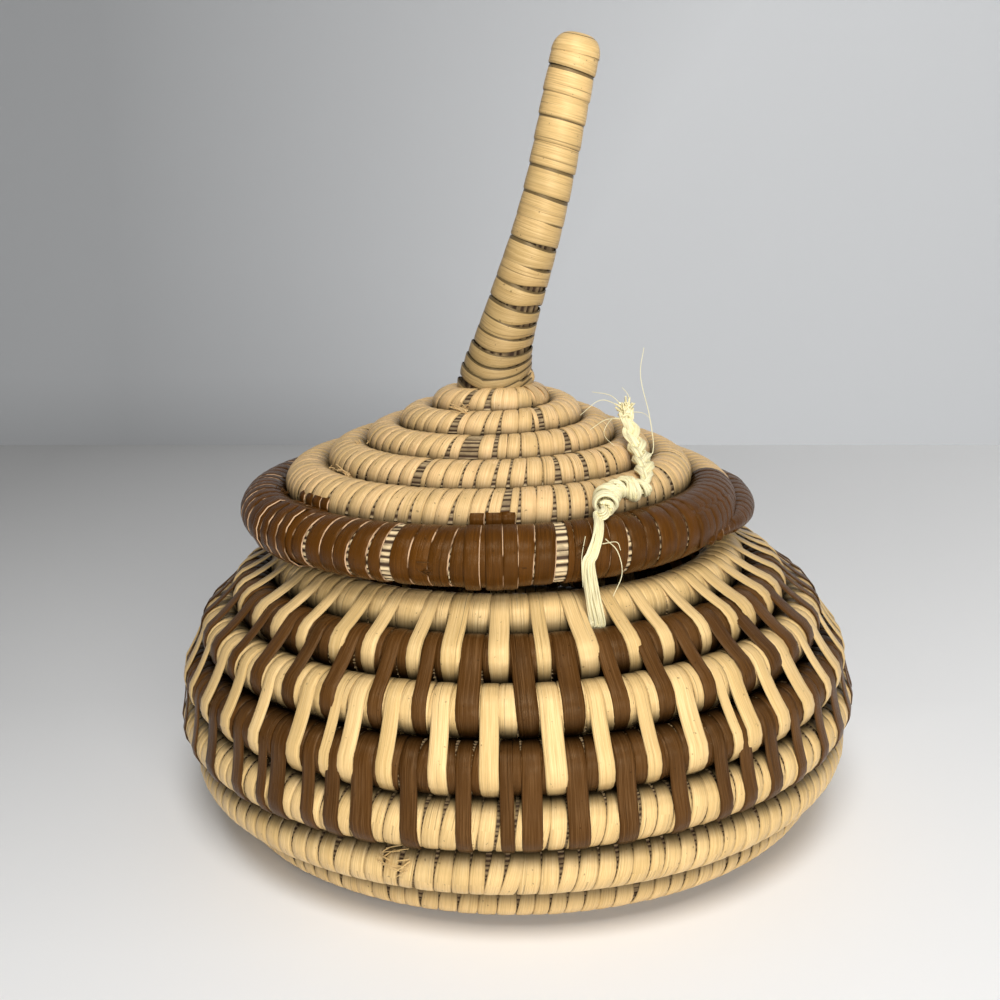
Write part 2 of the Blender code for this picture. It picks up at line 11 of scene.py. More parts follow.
import bmesh
import bpy
import numpy as np
from bpy.props import FloatProperty, FloatVectorProperty, IntProperty, PointerProperty
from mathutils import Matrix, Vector

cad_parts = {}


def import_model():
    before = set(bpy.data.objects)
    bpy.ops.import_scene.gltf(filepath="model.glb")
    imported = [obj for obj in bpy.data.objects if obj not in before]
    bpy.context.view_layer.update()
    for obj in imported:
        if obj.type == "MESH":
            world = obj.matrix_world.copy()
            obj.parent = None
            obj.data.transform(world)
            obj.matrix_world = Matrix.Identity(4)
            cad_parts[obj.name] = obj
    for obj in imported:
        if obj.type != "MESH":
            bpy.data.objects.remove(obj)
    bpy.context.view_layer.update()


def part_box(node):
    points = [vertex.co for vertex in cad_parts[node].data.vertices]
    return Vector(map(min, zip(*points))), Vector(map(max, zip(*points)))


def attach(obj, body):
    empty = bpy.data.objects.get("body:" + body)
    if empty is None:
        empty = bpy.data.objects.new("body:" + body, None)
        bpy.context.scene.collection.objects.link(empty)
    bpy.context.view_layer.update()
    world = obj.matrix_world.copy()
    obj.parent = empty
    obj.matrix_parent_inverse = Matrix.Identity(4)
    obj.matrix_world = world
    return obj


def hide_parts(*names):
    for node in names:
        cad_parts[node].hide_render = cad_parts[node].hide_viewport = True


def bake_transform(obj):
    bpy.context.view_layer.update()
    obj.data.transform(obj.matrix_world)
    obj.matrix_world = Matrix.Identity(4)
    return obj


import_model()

bl_info = {
    "name": "Coiled Lidded Basket",
    "version": (1, 0, 0),
    "blender": (4, 5, 0),
    "location": "3D View > Sidebar > Basket",
    "description": "Bound coils, wrapped handle and fibre tie of a small lidded basket",
    "category": "Object",
}

MM = 0.001
TURN = 2 * math.pi
SMALL_TURN = 1e-4

# The body's coil, as the solids have it
COIL_WIDTH = 9.9 * MM
COIL_DEPTH = 9.2 * MM
COIL_GAP = 0.8 * MM
COIL_START_RADIUS = 5.4 * MM
BASE_TURNS = 4.54
RISE_TURNS = 1.2
ROWS = 7
MOUTH_END_TURNS = 0.5
TAPER_TURNS = 0.25
TAPER_END_SHARE = 0.4
WALL_SLOPES_DEG = (0, 37, 67, 90, 107, 130, 145, 155, 165)
COIL_PITCH = COIL_WIDTH + COIL_GAP
FRONT_TURN = BASE_TURNS + RISE_TURNS
COIL_TURNS = FRONT_TURN + ROWS - 1 + MOUTH_END_TURNS
LINE_SAMPLES = 2000

# The lid's coil, as the solids have it; it winds clockwise and its height comes from the frame
LID_SHIFT = -4.3 * MM
LID_TOP_RADIUS = 9.5 * MM
LID_TOP_WIDTH = 8.0 * MM
LID_RING_WIDTH = 10.8 * MM
LID_RIM_WIDTH = 12.2 * MM
LID_END_WIDTH = 8.8 * MM
LID_DEPTH_LESS = 0.9 * MM
LID_GAP = 0.5 * MM
LID_SLOPE = math.radians(28)
LID_RINGS = 5
LID_START_TURNS = 0.62
LID_START_WIDTH = 3.4 * MM
LID_START_INSET = 3.0 * MM
LID_END_TURNS = 0.86
LID_TAPER_TURNS = 0.15
LID_TAPER_END_SHARE = 0.16
LID_RIM_TURNS = 0.24
RING_WIDTH_SHARES = (0, 0, 0.07, 0.42, 1)
FOOT_ABOVE_RING = 4.6 * MM
HANDLE_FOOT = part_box("handle_wrap")[0].z
HANDLE_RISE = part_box("handle_wrap")[1].z - HANDLE_FOOT
LID_TOP_HEIGHT = HANDLE_FOOT - FOOT_ABOVE_RING

# The handle's line, as the solids have it
HANDLE_LEAN = 19.8 * MM
HANDLE_BOW = 1.6 * MM
HANDLE_FOOT_SHIFT = 0.6 * MM
LEAN_BEND_SHARE = 0.08
HANDLE_SET_OVER = 0.7 * MM
HANDLE_ROUNDING = 3.0 * MM
HANDLE_END_LESS = 0.35
HANDLE_RADIUS_SHARES = (-0.06, -0.03, 0, 0.05, 0.12, 0.19, 0.3, 0.41, 0.51, 0.6, 0.75, 1)
HANDLE_RADII = np.array([9.7, 9.4, 8.7, 7.65, 6.6, 6.1, 5.8, 5.45, 5.25, 5.15, 5.15, 5.25]) * MM

# The camera, from the photograph: target is the point that it looks past at its own height
CAMERA_DISTANCE = 307.07 * MM
CAMERA_ELEVATION = math.radians(11.97)
CAMERA_TARGET_HEIGHT = 82.7 * MM
FOCAL_PIXELS = 1297.16
FRAME_PIXELS = 1000
CENTRE_PIXEL = (517.06, 455.28)
SENSOR_MM = 36.0


class BasketStrips(bpy.types.PropertyGroup):
    """Sizes and counts of the leaf strips."""

    long_stitches: IntProperty(name="Long stitches", description="Stitches in the top patterned row", default=46)
    stitch_width: FloatProperty(name="Stitch width", description="Width of a long stitch",
                                default=4.1 * MM, unit="LENGTH")
    wrap_width: FloatProperty(name="Wrap width", description="Width of a plain wrap",
                              default=3.3 * MM, unit="LENGTH")
    lid_width: FloatProperty(name="Lid wrap width", description="Width of a wrap on the lid's rings",
                             default=2.9 * MM, unit="LENGTH")
    rim_width: FloatProperty(name="Rim wrap width", description="Width of a wrap on the lid's rim",
                             default=3.9 * MM, unit="LENGTH")
    thickness: FloatProperty(name="Thickness", description="Thickness of a strip",
                             default=0.3 * MM, unit="LENGTH")
    seed: IntProperty(name="Seed", description="Start of the strips' small irregularities", default=11)


class BasketColours(bpy.types.PropertyGroup):
    """Colours of the leaf, the grass and the fibre."""

    natural: FloatVectorProperty(name="Natural leaf", description="Colour of the undyed strips",
                                 subtype="COLOR", default=(0.72, 0.49, 0.205))
    brown: FloatVectorProperty(name="Brown leaf", description="Colour of the dyed strips",
                               subtype="COLOR", default=(0.105, 0.040, 0.007))
    grass: FloatVectorProperty(name="Grass", description="Colour of the bundled grass",
                               subtype="COLOR", default=(0.50, 0.31, 0.11))
    fibre: FloatVectorProperty(name="Tie fibre", description="Colour of the tie",
                               subtype="COLOR", default=(0.90, 0.81, 0.50))


class BasketStage(bpy.types.PropertyGroup):
    """The floor, the wall and the lamps."""

    floor: FloatVectorProperty(name="Floor", description="Colour of the floor", subtype="COLOR",
                               default=(0.93, 0.925, 0.915))
    wall: FloatVectorProperty(name="Wall", description="Colour of the wall", subtype="COLOR",
                              default=(0.62, 0.63, 0.64))
    wall_distance: FloatProperty(name="Wall distance", description="How far the wall stands behind",
                                 default=418 * MM, unit="LENGTH")
    key: FloatProperty(name="Key lamp", description="Power of the high lamp in watts", default=4.7)
    front: FloatProperty(name="Front lamp", description="Power of the low front lamp in watts", default=6.4)
    sky: FloatProperty(name="Sky", description="Strength of the even light from all round", default=0.13)


def world(radius, azimuth, height, shift=0.0):
    """Points at a radius and azimuth about an upright axis that stands at x = shift."""
    radius, azimuth, height = np.broadcast_arrays(radius, azimuth, height)
    return np.stack([shift + radius * np.sin(azimuth), -radius * np.cos(azimuth), height], axis=-1)


def summed(values, step):
    """The running sum of values over equal steps, by the trapezium rule, from zero."""
    return np.concatenate([[0.0], np.cumsum((values[1:] + values[:-1]) / 2 * step)])


def unit(vectors):
    """Vectors divided by their own lengths."""
    return vectors / np.maximum(np.linalg.norm(vectors, axis=-1, keepdims=True), 1e-12)


def body_line(turns):
    """Radius, height and wall slope of the body's coil: it advances one pitch a turn along the wall,
    whose slope bends evenly from row to row, so radius and height are the running sums of the
    slope's cosine and sine."""
    grid = np.linspace(0.0, COIL_TURNS, LINE_SAMPLES)
    knots = BASE_TURNS + np.concatenate([[0.0], RISE_TURNS + np.arange(len(WALL_SLOPES_DEG) - 1)])
    slopes = np.interp(grid, knots, np.radians(WALL_SLOPES_DEG))
    step = (grid[1] - grid[0]) * COIL_PITCH
    radii = COIL_START_RADIUS + summed(np.cos(slopes), step)
    heights = COIL_DEPTH / 2 + summed(np.sin(slopes), step)
    return np.interp(turns, grid, radii), np.interp(turns, grid, heights), np.interp(turns, grid, slopes)


def body_point(turns, out, along):
    """Points off the body's centre line: out through the wall, along it towards the mouth, both
    drawn in where the coil's end tapers."""
    radius, height, slope = body_line(turns)
    taper = np.clip((COIL_TURNS - turns) / TAPER_TURNS, TAPER_END_SHARE, 1.0)
    along = along * taper - (1 - taper) * COIL_WIDTH / 2
    out = out * taper
    radius = radius + out * np.sin(slope) + along * np.cos(slope)
    height = height - out * np.cos(slope) + along * np.sin(slope)
    return world(radius, (turns - FRONT_TURN) * TURN, np.maximum(height, 0.0))


def ring_width(turns):
    """The lid coil's width: it swells from the tapered start, whole rings hold the named shares, and
    the rim swells again from the last one and thins towards its end."""
    plain = LID_TOP_WIDTH + (LID_RING_WIDTH - LID_TOP_WIDTH) * np.interp(
        turns, np.arange(LID_RINGS), RING_WIDTH_SHARES)
    start = (LID_TOP_WIDTH - LID_START_WIDTH) * np.minimum(turns, 0.0) / LID_START_TURNS
    rim_marks = LID_RINGS + np.array([-LID_RIM_TURNS, -LID_RIM_TURNS / 2, 0.0, LID_END_TURNS])
    rim_widths = np.array([LID_RING_WIDTH, LID_RIM_WIDTH, LID_RIM_WIDTH, LID_END_WIDTH])
    return plain + start + np.interp(turns, rim_marks, rim_widths - LID_RING_WIDTH)


def lid_run(turns):
    """Distance down the lid's slope: each turn lies half its own width, half the last one's and a gap
    below the last. Before its first whole turn the thin start lies inside the top ring."""
    turns = np.asarray(turns, float)
    whole = np.maximum(np.floor(turns), 0)
    part = np.maximum(turns - whole, 0.0)
    run = part * (ring_width(0.0) / 2 + ring_width(1.0) / 2 + LID_GAP)
    for ring in range(1, LID_RINGS + 1):
        lower = part + ring
        spacing = (ring_width(lower) + ring_width(lower - 1)) / 2 + LID_GAP
        run = run + np.where(whole >= ring, spacing, 0.0)
    return run + LID_START_INSET * np.minimum(turns, 0.0) / LID_START_TURNS


def lid_radius(turns):
    """Radius of the lid's centre line about its own axis."""
    return LID_TOP_RADIUS + lid_run(turns) * math.cos(LID_SLOPE)


def lid_point(turns, out, along):
    """Points off the lid's centre line: out from the cone, and along it down towards the rim."""
    taper = np.clip((LID_RINGS + LID_END_TURNS - turns) / LID_TAPER_TURNS, LID_TAPER_END_SHARE, 1.0)
    run = lid_run(turns) + along * taper - (1 - taper) * LID_RIM_WIDTH / 2
    out = out * taper
    radius = LID_TOP_RADIUS + run * math.cos(LID_SLOPE) + out * math.sin(LID_SLOPE)
    height = LID_TOP_HEIGHT - run * math.sin(LID_SLOPE) + out * math.cos(LID_SLOPE)
    return world(radius, (LID_RINGS - turns) * TURN, height, LID_SHIFT)


def body_oval(turns, angle, lift):
    """Points on the oval round the body's coil: the half depth and half width, each with the lift
    added, times the angle's cosine outwards and its sine up the wall."""
    return body_point(turns, (COIL_DEPTH / 2 + lift) * np.cos(angle), (COIL_WIDTH / 2 + lift) * np.sin(angle))


def lid_oval(turns, angle, lift):
    """Points on the oval round the lid's coil, whose width grows from ring to ring. The angle turns
    from the outer face up towards the handle."""
    half = ring_width(turns) / 2
    return lid_point(turns, (half - LID_DEPTH_LESS / 2 + lift) * np.cos(angle), -(half + lift) * np.sin(angle))



# A coil is its oval, the way it winds, 1 for counter-clockwise, and its centre line's radius
Coil = namedtuple("Coil", "oval hand radius")
BODY = Coil(body_oval, 1, lambda turns: body_line(turns)[0])
LID = Coil(lid_oval, -1, lid_radius)


def put_mesh(name, piece, material):
    """A mesh object at the origin from a piece: points, quads, a UV for each face corner, and a tint
    and a shade for each point."""
    vertices, faces, uv, tint, shade = piece
    vertices = np.maximum(vertices, (-1.0, -1.0, 0.0))
    mesh = bpy.data.meshes.new(name)
    mesh.vertices.add(len(vertices))
    mesh.vertices.foreach_set("co", np.asarray(vertices, np.float32).ravel())
    mesh.loops.add(faces.size)
    mesh.loops.foreach_set("vertex_index", faces.astype(np.int32).ravel())
    mesh.polygons.add(len(faces))
    mesh.polygons.foreach_set("loop_start", np.arange(0, faces.size, 4, dtype=np.int32))
    mesh.update(calc_edges=True)
    layer = mesh.uv_layers.new(name="strip")
    layer.data.foreach_set("uv", np.asarray(uv, np.float32).ravel())
    for key, values in (("tint", tint), ("shade", shade)):
        attribute = mesh.attributes.new(key, "FLOAT", "POINT")
        attribute.data.foreach_set("value", np.asarray(values, np.float32).ravel())
    mesh.validate()
    mesh.materials.append(material)
    obj = bpy.data.objects.new(name, mesh)
    bpy.context.scene.collection.objects.link(obj)
    face_out(mesh)
    mesh.shade_smooth()
    mesh.set_sharp_from_angle(angle=math.radians(52))
    return obj


def face_out(mesh):
    """Turns the faces of closed shells outwards."""
    bm = bmesh.new()
    bm.from_mesh(mesh)
    bmesh.ops.recalc_face_normals(bm, faces=bm.faces)
    bm.to_mesh(mesh)
    bm.free()


# A flat strip's section, as shares of its width and thickness, and a round strand's
CROWN = np.array([(-1.0, 0.0), (-0.88, 0.8), (-0.32, 1.0), (0.32, 1.0), (0.88, 0.8), (1.0, 0.0)])
ROUND = np.stack([-np.cos(np.arange(6) * TURN / 6), np.sin(np.arange(6) * TURN / 6)], axis=-1)


def bands(line, side, width, thickness, closed, tint, shade, section=CROWN):
    """Strips or strands. line and side hold, for each strip and station, a point under the strip's
    middle and the way across it. The section's first share of half the width goes across, and its
    second share of the thickness goes up, square to the line."""
    count, stations = line.shape[:2]
    if closed:
        ahead = np.roll(line, -1, axis=1) - np.roll(line, 1, axis=1)
    else:
        ahead = np.gradient(line, axis=1)
    ahead = unit(ahead)
    side = unit(side - ahead * np.sum(side * ahead, axis=-1, keepdims=True))
    up = np.cross(side, ahead)
    width = np.broadcast_to(width, (count, stations))[..., None, None]
    thickness = np.broadcast_to(thickness, (count, stations))[..., None, None]
    points = (line[:, :, None] + side[:, :, None] * width * section[:, :1] / 2
              + up[:, :, None] * thickness * section[:, 1:])
    corners = len(section)
    index = np.arange(count * stations * corners).reshape(count, stations, corners)
    rows = index if not closed else np.concatenate([index, index[:, :1]], axis=1)
    here, there = rows[:, :-1], rows[:, 1:]
    faces = np.stack([here, np.roll(here, -1, 2), np.roll(there, -1, 2), there], axis=-1).reshape(-1, 4)
    step = np.linalg.norm(np.diff(line, axis=1), axis=-1)
    if closed:
        step = np.concatenate([step, np.linalg.norm(line[:, :1] - line[:, -1:], axis=-1)], axis=1)
    run = np.concatenate([np.zeros((count, 1)), np.cumsum(step, axis=1)], axis=1) * 100
    across = (section[:, 0] + 1) / 2
    u = np.stack([run[:, :-1], run[:, :-1], run[:, 1:], run[:, 1:]], axis=-1)[:, :, None]
    v = np.stack([across, np.roll(across, -1), np.roll(across, -1), across], axis=-1)[None, None]
    u, v = np.broadcast_arrays(u, v)
    uv = np.stack([u, v], axis=-1).reshape(-1, 2)
    if not closed:
        caps = []
        for end in (index[:, 0], index[:, -1]):
            caps += [end[:, [0, 1, 4, 5]], end[:, [1, 2, 3, 4]]]
        caps = np.concatenate(caps)
        faces = np.concatenate([faces, caps])
        uv = np.concatenate([uv, np.full((caps.size, 2), 0.5)])
    spread = [np.broadcast_to(value, (count, stations)).repeat(corners) for value in (tint, shade)]
    return points.reshape(-1, 3), faces, uv, *spread


def joined(parts):
    """Several pieces as one."""
    starts = np.cumsum([0] + [len(p[0]) for p in parts[:-1]])
    faces = np.concatenate([p[1] + start for p, start in zip(parts, starts)])
    points, _, uv, tint, shade = (np.concatenate(arrays) for arrays in zip(*parts))
    return points, faces, uv, tint, shade


def groove_shade(angle, open_side=0):
    """Painted shade of a strip round its coil: full light on the open faces and painted dark where it dives between
    two turns, by the cosine of its angle from the face. The open side, up 1 or down -1, stays light."""
    shade = np.interp(np.abs(np.cos(angle)), (0.12, 0.42, 0.68, 0.9), (0.02, 0.25, 0.76, 1.0))
    return np.where(np.sin(angle) * open_side > 0, 1.0, shade)


def wraps(coil, turns, width, lift, thickness, rng, stations=20, slant=0.0, open_side=0):
    """Closed strips once round a coil at each turn count: points of the oval at even angles. A strip's
    width follows the coil's, wider outside and narrower inside where the coil bends tightly."""
    angle = (np.arange(stations) + 0.5) * TURN / stations
    turns = np.asarray(turns)[:, None]
    lift = lift + rng.uniform(0.0, 0.09, turns.shape) * MM
    lean = (slant + rng.normal(0, 0.22, turns.shape) * MM) * np.sin(angle) / (TURN * coil.radius(turns))
    leaning = turns + coil.hand * lean
    line = coil.oval(leaning, angle, lift)
    side = coil.oval(leaning + SMALL_TURN, angle, lift) - coil.oval(leaning - SMALL_TURN, angle, lift)
    middle = (coil.oval(turns + SMALL_TURN, angle, -COIL_DEPTH / 2)
              - coil.oval(turns - SMALL_TURN, angle, -COIL_DEPTH / 2))
    scale = np.linalg.norm(side, axis=-1) / np.linalg.norm(middle, axis=-1)
    # Painted shade, dark where the strip dives into the grooves between turns; the strip also narrows there
    shade = groove_shade(angle, open_side)
    width = np.asarray(width).reshape(-1, 1) * scale * (0.86 + 0.14 * shade)
    tint = rng.uniform(0, 1, turns.shape)
    return bands(line, side * coil.hand, width, thickness, True, tint, shade)


# A long stitch goes round its own coil turn, 0, and the one below it, 1: turn, angle and depth under the
# binding at each knot. A reaching wrap goes round a turn of the rim and into the ring above it.
STITCH_KNOTS = (
    (1, -150, 0), (1, -125, 0), (1, -100, 0), (1, -78, 0), (1, -56, 0), (1, -36, 0), (1, -16, 0), (1, 5, 0),
    (0, -7, 0), (0, 14, 0), (0, 36, 0), (0, 58, 0), (0, 82, 0), (0, 106, 0), (0, 130, 0), (0, 154, 0),
    (0, 176, 0), (1, 184, 0))
REACH_KNOTS = (
    (1, -150, 0), (1, -125, 0), (1, -100, 0), (1, -78, 0), (1, -56, 0), (1, -32, 0), (1, -8, 0), (1, 20, 0),
    (0, -70, 0), (0, -60, 0), (0, -51, 0), (0, -43, 0.2), (0, -35, 1.6), (0, -10, 3.2), (0, 60, 3.6), (0, 150, 3),
    (1, 150, 0.6), (1, 184, 0))
END_KNOTS = (
    (1, -150, 0), (1, -132, 0), (1, -114, 0), (1, -94, 0), (0, -78, 0), (0, -62, 0), (0, -44, 0), (0, -26, 0),
    (0, -8, 0), (0, 14, 0), (0, 36, 0), (0, 58, 0), (0, 82, 0), (0, 106, 0), (0, 130, 0), (0, 154, 0),
    (0, 176, 0), (1, 184, 0))
STITCH_STATIONS = (0, 1, 2, 3, 4, 5, 6, 7, 7.25, 7.5, 7.75, 8, 9, 10, 11, 12, 13, 14, 15, 16, 16.33, 16.67, 17)
STITCH_SAG = 0.3 * MM


def between_knots(values, stations):
    """Values along axis 1 read at fractional places, straight from one to the next."""
    low = np.minimum(np.floor(stations).astype(int), values.shape[1] - 2)
    share = (stations - low)[:, None]
    return values[:, low] * (1 - share) + values[:, low + 1] * share


def long_stitches(coil, knots, turns, width, lift, thickness, lean, rng, open_side=0):
    """Closed strips round a coil turn and the one below it: points of the two ovals at the knots,
    drifting along the coil by the lean as they go down, and straight stretches from one oval to the
    other. A strip lies on the binding of the lower turn and sags a little where nothing is under it."""
    below, angle, sunk = np.array(knots, float).T
    angle = np.radians(angle)
    down = 0.5 * below + 0.25 * (1 - np.sin(angle))
    turns = np.asarray(turns)[:, None]
    lean = (lean + rng.normal(0, 0.32, turns.shape) * MM) * down / (TURN * coil.radius(turns))
    at = turns - coil.hand * below + coil.hand * lean
    # Painted shade where the stitch dives into the grooves of its two turns; it also lowers the lift there
    upper_part = (below == 0) & (angle > 0)
    lower_part = (below == 1) & (angle < 0)
    shade = np.where(upper_part | lower_part, groove_shade(angle, open_side), 1.0)
    lifts = (lift + rng.uniform(0, 0.1, turns.shape) * MM + (thickness + 0.05 * MM) * below) * (0.5 + 0.5 * shade)
    lifts = lifts - sunk * MM
    line = coil.oval(at, angle, lifts)
    side = coil.oval(at + SMALL_TURN, angle, lifts) - coil.oval(at - SMALL_TURN, angle, lifts)
    outward = unit(coil.oval(at, angle, lifts + MM) - line)
    stations = np.array(STITCH_STATIONS, float)
    sag = np.sin(math.pi * (stations - 7)) * ((stations > 7) & (stations < 8)) * STITCH_SAG
    line = between_knots(line, stations) - between_knots(outward, stations) * sag[:, None]
    side = between_knots(side, stations) * coil.hand
    shade = np.interp(stations, np.arange(len(below)), shade)
    width = np.asarray(width).reshape(-1, 1) * (0.84 + 0.16 * shade)
    waist = 1 - 0.06 * np.exp(-((stations - 9.0) / 1.5) ** 2)
    return bands(line, side, width * waist, thickness, True, rng.uniform(0, 1, turns.shape), shade)


def cells(coil, first, last, width, spread, rng):
    """Turn counts and widths of strips side by side from first to last. Their random widths are
    scaled to fill the coil's length, which is the running sum of a turn's circumference."""
    grid = np.linspace(first, last, 400)
    run = summed(TURN * coil.radius(grid), grid[1] - grid[0])
    sizes = rng.uniform(1 - spread, 1 + spread, max(int(round(run[-1] / width)), 1))
    ends = np.concatenate([[0.0], np.cumsum(sizes)]) * run[-1] / sizes.sum()
    return np.interp((ends[:-1] + ends[1:]) / 2, run, grid), np.diff(ends)


def loosened(widths, rng, loose_share):
    """Widths a little less than their cells, and a share of them much less, so that the grass shows."""
    loose = rng.uniform(0, 1, len(widths)) < loose_share
    return widths * np.where(loose, rng.uniform(0.68, 0.84, len(widths)), rng.uniform(0.94, 1.0, len(widths)))


def opened(coil, at, widths, openings):
    """Strips cut back from openings, each a turn count and a width along the coil."""
    for turn, gap in openings:
        length = TURN * float(coil.radius(turn))
        run = (at - turn) * length
        low = np.where(run > 0, np.maximum(run - widths / 2, gap / 2), run - widths / 2)
        high = np.where(run <= 0, np.minimum(run + widths / 2, -gap / 2), run + widths / 2)
        at, widths = turn + (low + high) / 2 / length, high - low
        wide = widths > 0.45 * MM
        at, widths = at[wide], widths[wide]
    return at, widths


def ribbed_bundle(name, coil, first, last, samples, stalks, tint, material):
    """A bundle of stalks: the oval round a coil, a little inside the strips, whose radius rises and
    falls once for each stalk. Both ends close to a point."""
    sides = stalks * 2
    turns = np.linspace(first, last, samples)[:, None]
    order = np.arange(sides)
    uneven = 0.3 * np.sin(order * 2.4) + 0.25 * np.sin(order * 1.3 + turns * 9) + 0.2 * np.sin(order * 4.1 + turns * 23)
    angle = (order + uneven) * TURN / sides
    valley = order % 2
    points = coil.oval(turns, angle, -0.42 * MM * valley)
    tips = coil.oval(turns[[0, -1]], angle[[0, -1]], -COIL_DEPTH / 2 + 0.5 * MM)
    points = np.concatenate([tips[:1], points, tips[1:]])
    count = len(points)
    index = np.arange(count * sides).reshape(count, sides)
    here, there = index[:-1], index[1:]
    faces = np.stack([here, np.roll(here, -1, 1), np.roll(there, -1, 1), there], axis=-1).reshape(-1, 4)
    run = np.linspace(0, 1, count) * samples
    u = np.broadcast_to(np.stack([run[:-1], run[:-1], run[1:], run[1:]], -1)[:, None], (count - 1, sides, 4))
    v = np.arange(sides) / sides
    v = np.broadcast_to(np.stack([v, v + 1 / sides, v + 1 / sides, v], -1)[None], (count - 1, sides, 4))
    uv = np.stack([u, v], -1).reshape(-1, 2)
    caps = [index[end][[i, i + 1, sides - 2 - i, sides - 1 - i]] for end in (0, -1) for i in range(sides // 2 - 1)]
    faces = np.concatenate([faces, np.array(caps)])
    uv = np.concatenate([uv, np.full((len(caps) * 4, 2), 0.5)])
    tints = np.interp(np.linspace(first, last, count), *tint)[:, None].repeat(sides, axis=1)
    # Painted shade: the valleys between the stalks carry 0, the crowns 1
    shade = np.broadcast_to(1.0 - valley, (count, sides))
    return put_mesh(name, (points.reshape(-1, 3), faces, uv, tints.ravel(), shade.ravel()), material)


# The handle


def handle_line(share):
    """The handle's centre line by height share: it bends over soon after the foot, then leans evenly,
    with a slight bow of the sine squared."""
    bent = share - LEAN_BEND_SHARE * (1 - np.exp(-share / LEAN_BEND_SHARE))
    x = LID_SHIFT - HANDLE_FOOT_SHIFT + HANDLE_LEAN * bent + HANDLE_BOW * np.sin(math.pi * share) ** 2
    x = x + HANDLE_SET_OVER * (1 - np.exp(-np.maximum(share, 0) / LEAN_BEND_SHARE))
    return np.stack([x, np.zeros_like(x), HANDLE_FOOT + share * HANDLE_RISE], axis=-1)


def handle_oval(share, angle, lift):
    """Points round the handle, counter-clockwise seen from above from its right side, at the radius that
    its height has, which rounds off over the last few millimetres."""
    share, angle, lift = np.broadcast_arrays(share, angle, lift)
    along = unit(handle_line(share + SMALL_TURN) - handle_line(share - SMALL_TURN))
    right = np.cross(np.array([0.0, 1.0, 0.0]), along)
    radius = np.interp(share, HANDLE_RADIUS_SHARES, HANDLE_RADII) + lift
    over = np.clip((share - 1) * HANDLE_RISE / HANDLE_ROUNDING + 1, 0.0, 1.0)
    radius = radius * (1 - HANDLE_END_LESS * (1 - np.sqrt(1 - np.minimum(over, 0.999) ** 2)))
    swing = np.cos(angle)[..., None] * right + np.sin(angle)[..., None] * np.array([0.0, 1.0, 0.0])
    return handle_line(share) + radius[..., None] * swing




def core_oval(share, angle, lift):
    """The handle's bundle: the handle's outline drawn in under its wraps."""
    return handle_oval(share, angle, lift - 0.55 * MM)


HANDLE_CORE = Coil(core_oval, 1, None)
# Pitch, rise of the right side and rise of both sides of the wraps, by height share
HANDLE_SHARES = (0, 0.1, 0.2, 0.3, 0.45, 0.6, 0.85, 1)
HANDLE_PITCHES = np.array([2.3, 3.2, 3.9, 4.6, 5.4, 5.6, 5.2, 3.8]) * MM
HANDLE_RIGHT_RISE = (0.18, 0.12, 0.06, 0.0, -0.05, -0.08, -0.09, -0.06)
HANDLE_SIDE_RISE = (0.34, 0.26, 0.17, 0.1, 0.03, 0, 0, 0)
HANDLE_NARROWING = (0.32, 0.44, 0.44, 0.34, 0.12, 0, 0, 0)


def handle_wraps(rng, stations=44):
    """The strip round the handle as closed bands, each lying over the one below it: centres by the
    running sum of one over the pitch. Near the foot they rise at the sides, by the cosine of the
    angle and its square, and narrow towards the front right, so that gaps open there."""
    grid = np.linspace(-0.075, 0.955, 400)
    turns = summed(HANDLE_RISE / np.interp(grid, HANDLE_SHARES, HANDLE_PITCHES), grid[1] - grid[0])
    count = int(round(turns[-1]))
    marks = (np.arange(count) + 0.5 + rng.uniform(-0.08, 0.08, count)) * turns[-1] / count
    centre = np.interp(marks, turns, grid)[:, None]
    angle = (np.arange(stations) + 0.5)[None, :] * TURN / stations
    right_rise, side_rise, narrowing, pitch = (
        np.interp(centre, HANDLE_SHARES, values)
        for values in (HANDLE_RIGHT_RISE, HANDLE_SIDE_RISE, HANDLE_NARROWING, HANDLE_PITCHES))
    radius = np.linalg.norm(handle_oval(centre, 0.0, 0.0) - handle_line(centre), axis=-1)
    rise = right_rise * np.cos(angle) + side_rise * np.cos(angle) ** 2
    rise = rise + rng.normal(0, 0.012, centre.shape) * np.cos(angle + rng.uniform(0, TURN, centre.shape))
    place_at = np.minimum(centre + rise * radius / HANDLE_RISE, 0.98)
    line = handle_oval(place_at, angle, -0.05 * MM)
    along = unit(handle_line(place_at + SMALL_TURN) - handle_line(place_at - SMALL_TURN))
    outward = unit(line - handle_line(place_at))
    front_right = np.clip(np.cos(angle + math.radians(38)), 0, 1) ** 3
    width = pitch * 1.13 * (1 - narrowing * front_right)
    tint = rng.uniform(0, 1, centre.shape)
    # The strips darken towards the foot, from 0.55 there to full at 0.8 of the height, through the shade attribute
    shade = np.interp(centre, (0, 0.2, 0.5, 0.8), (0.55, 0.66, 0.82, 1.0))
    return bands(line, -(along - 0.055 * outward), width, 0.26 * MM, True, tint, shade)


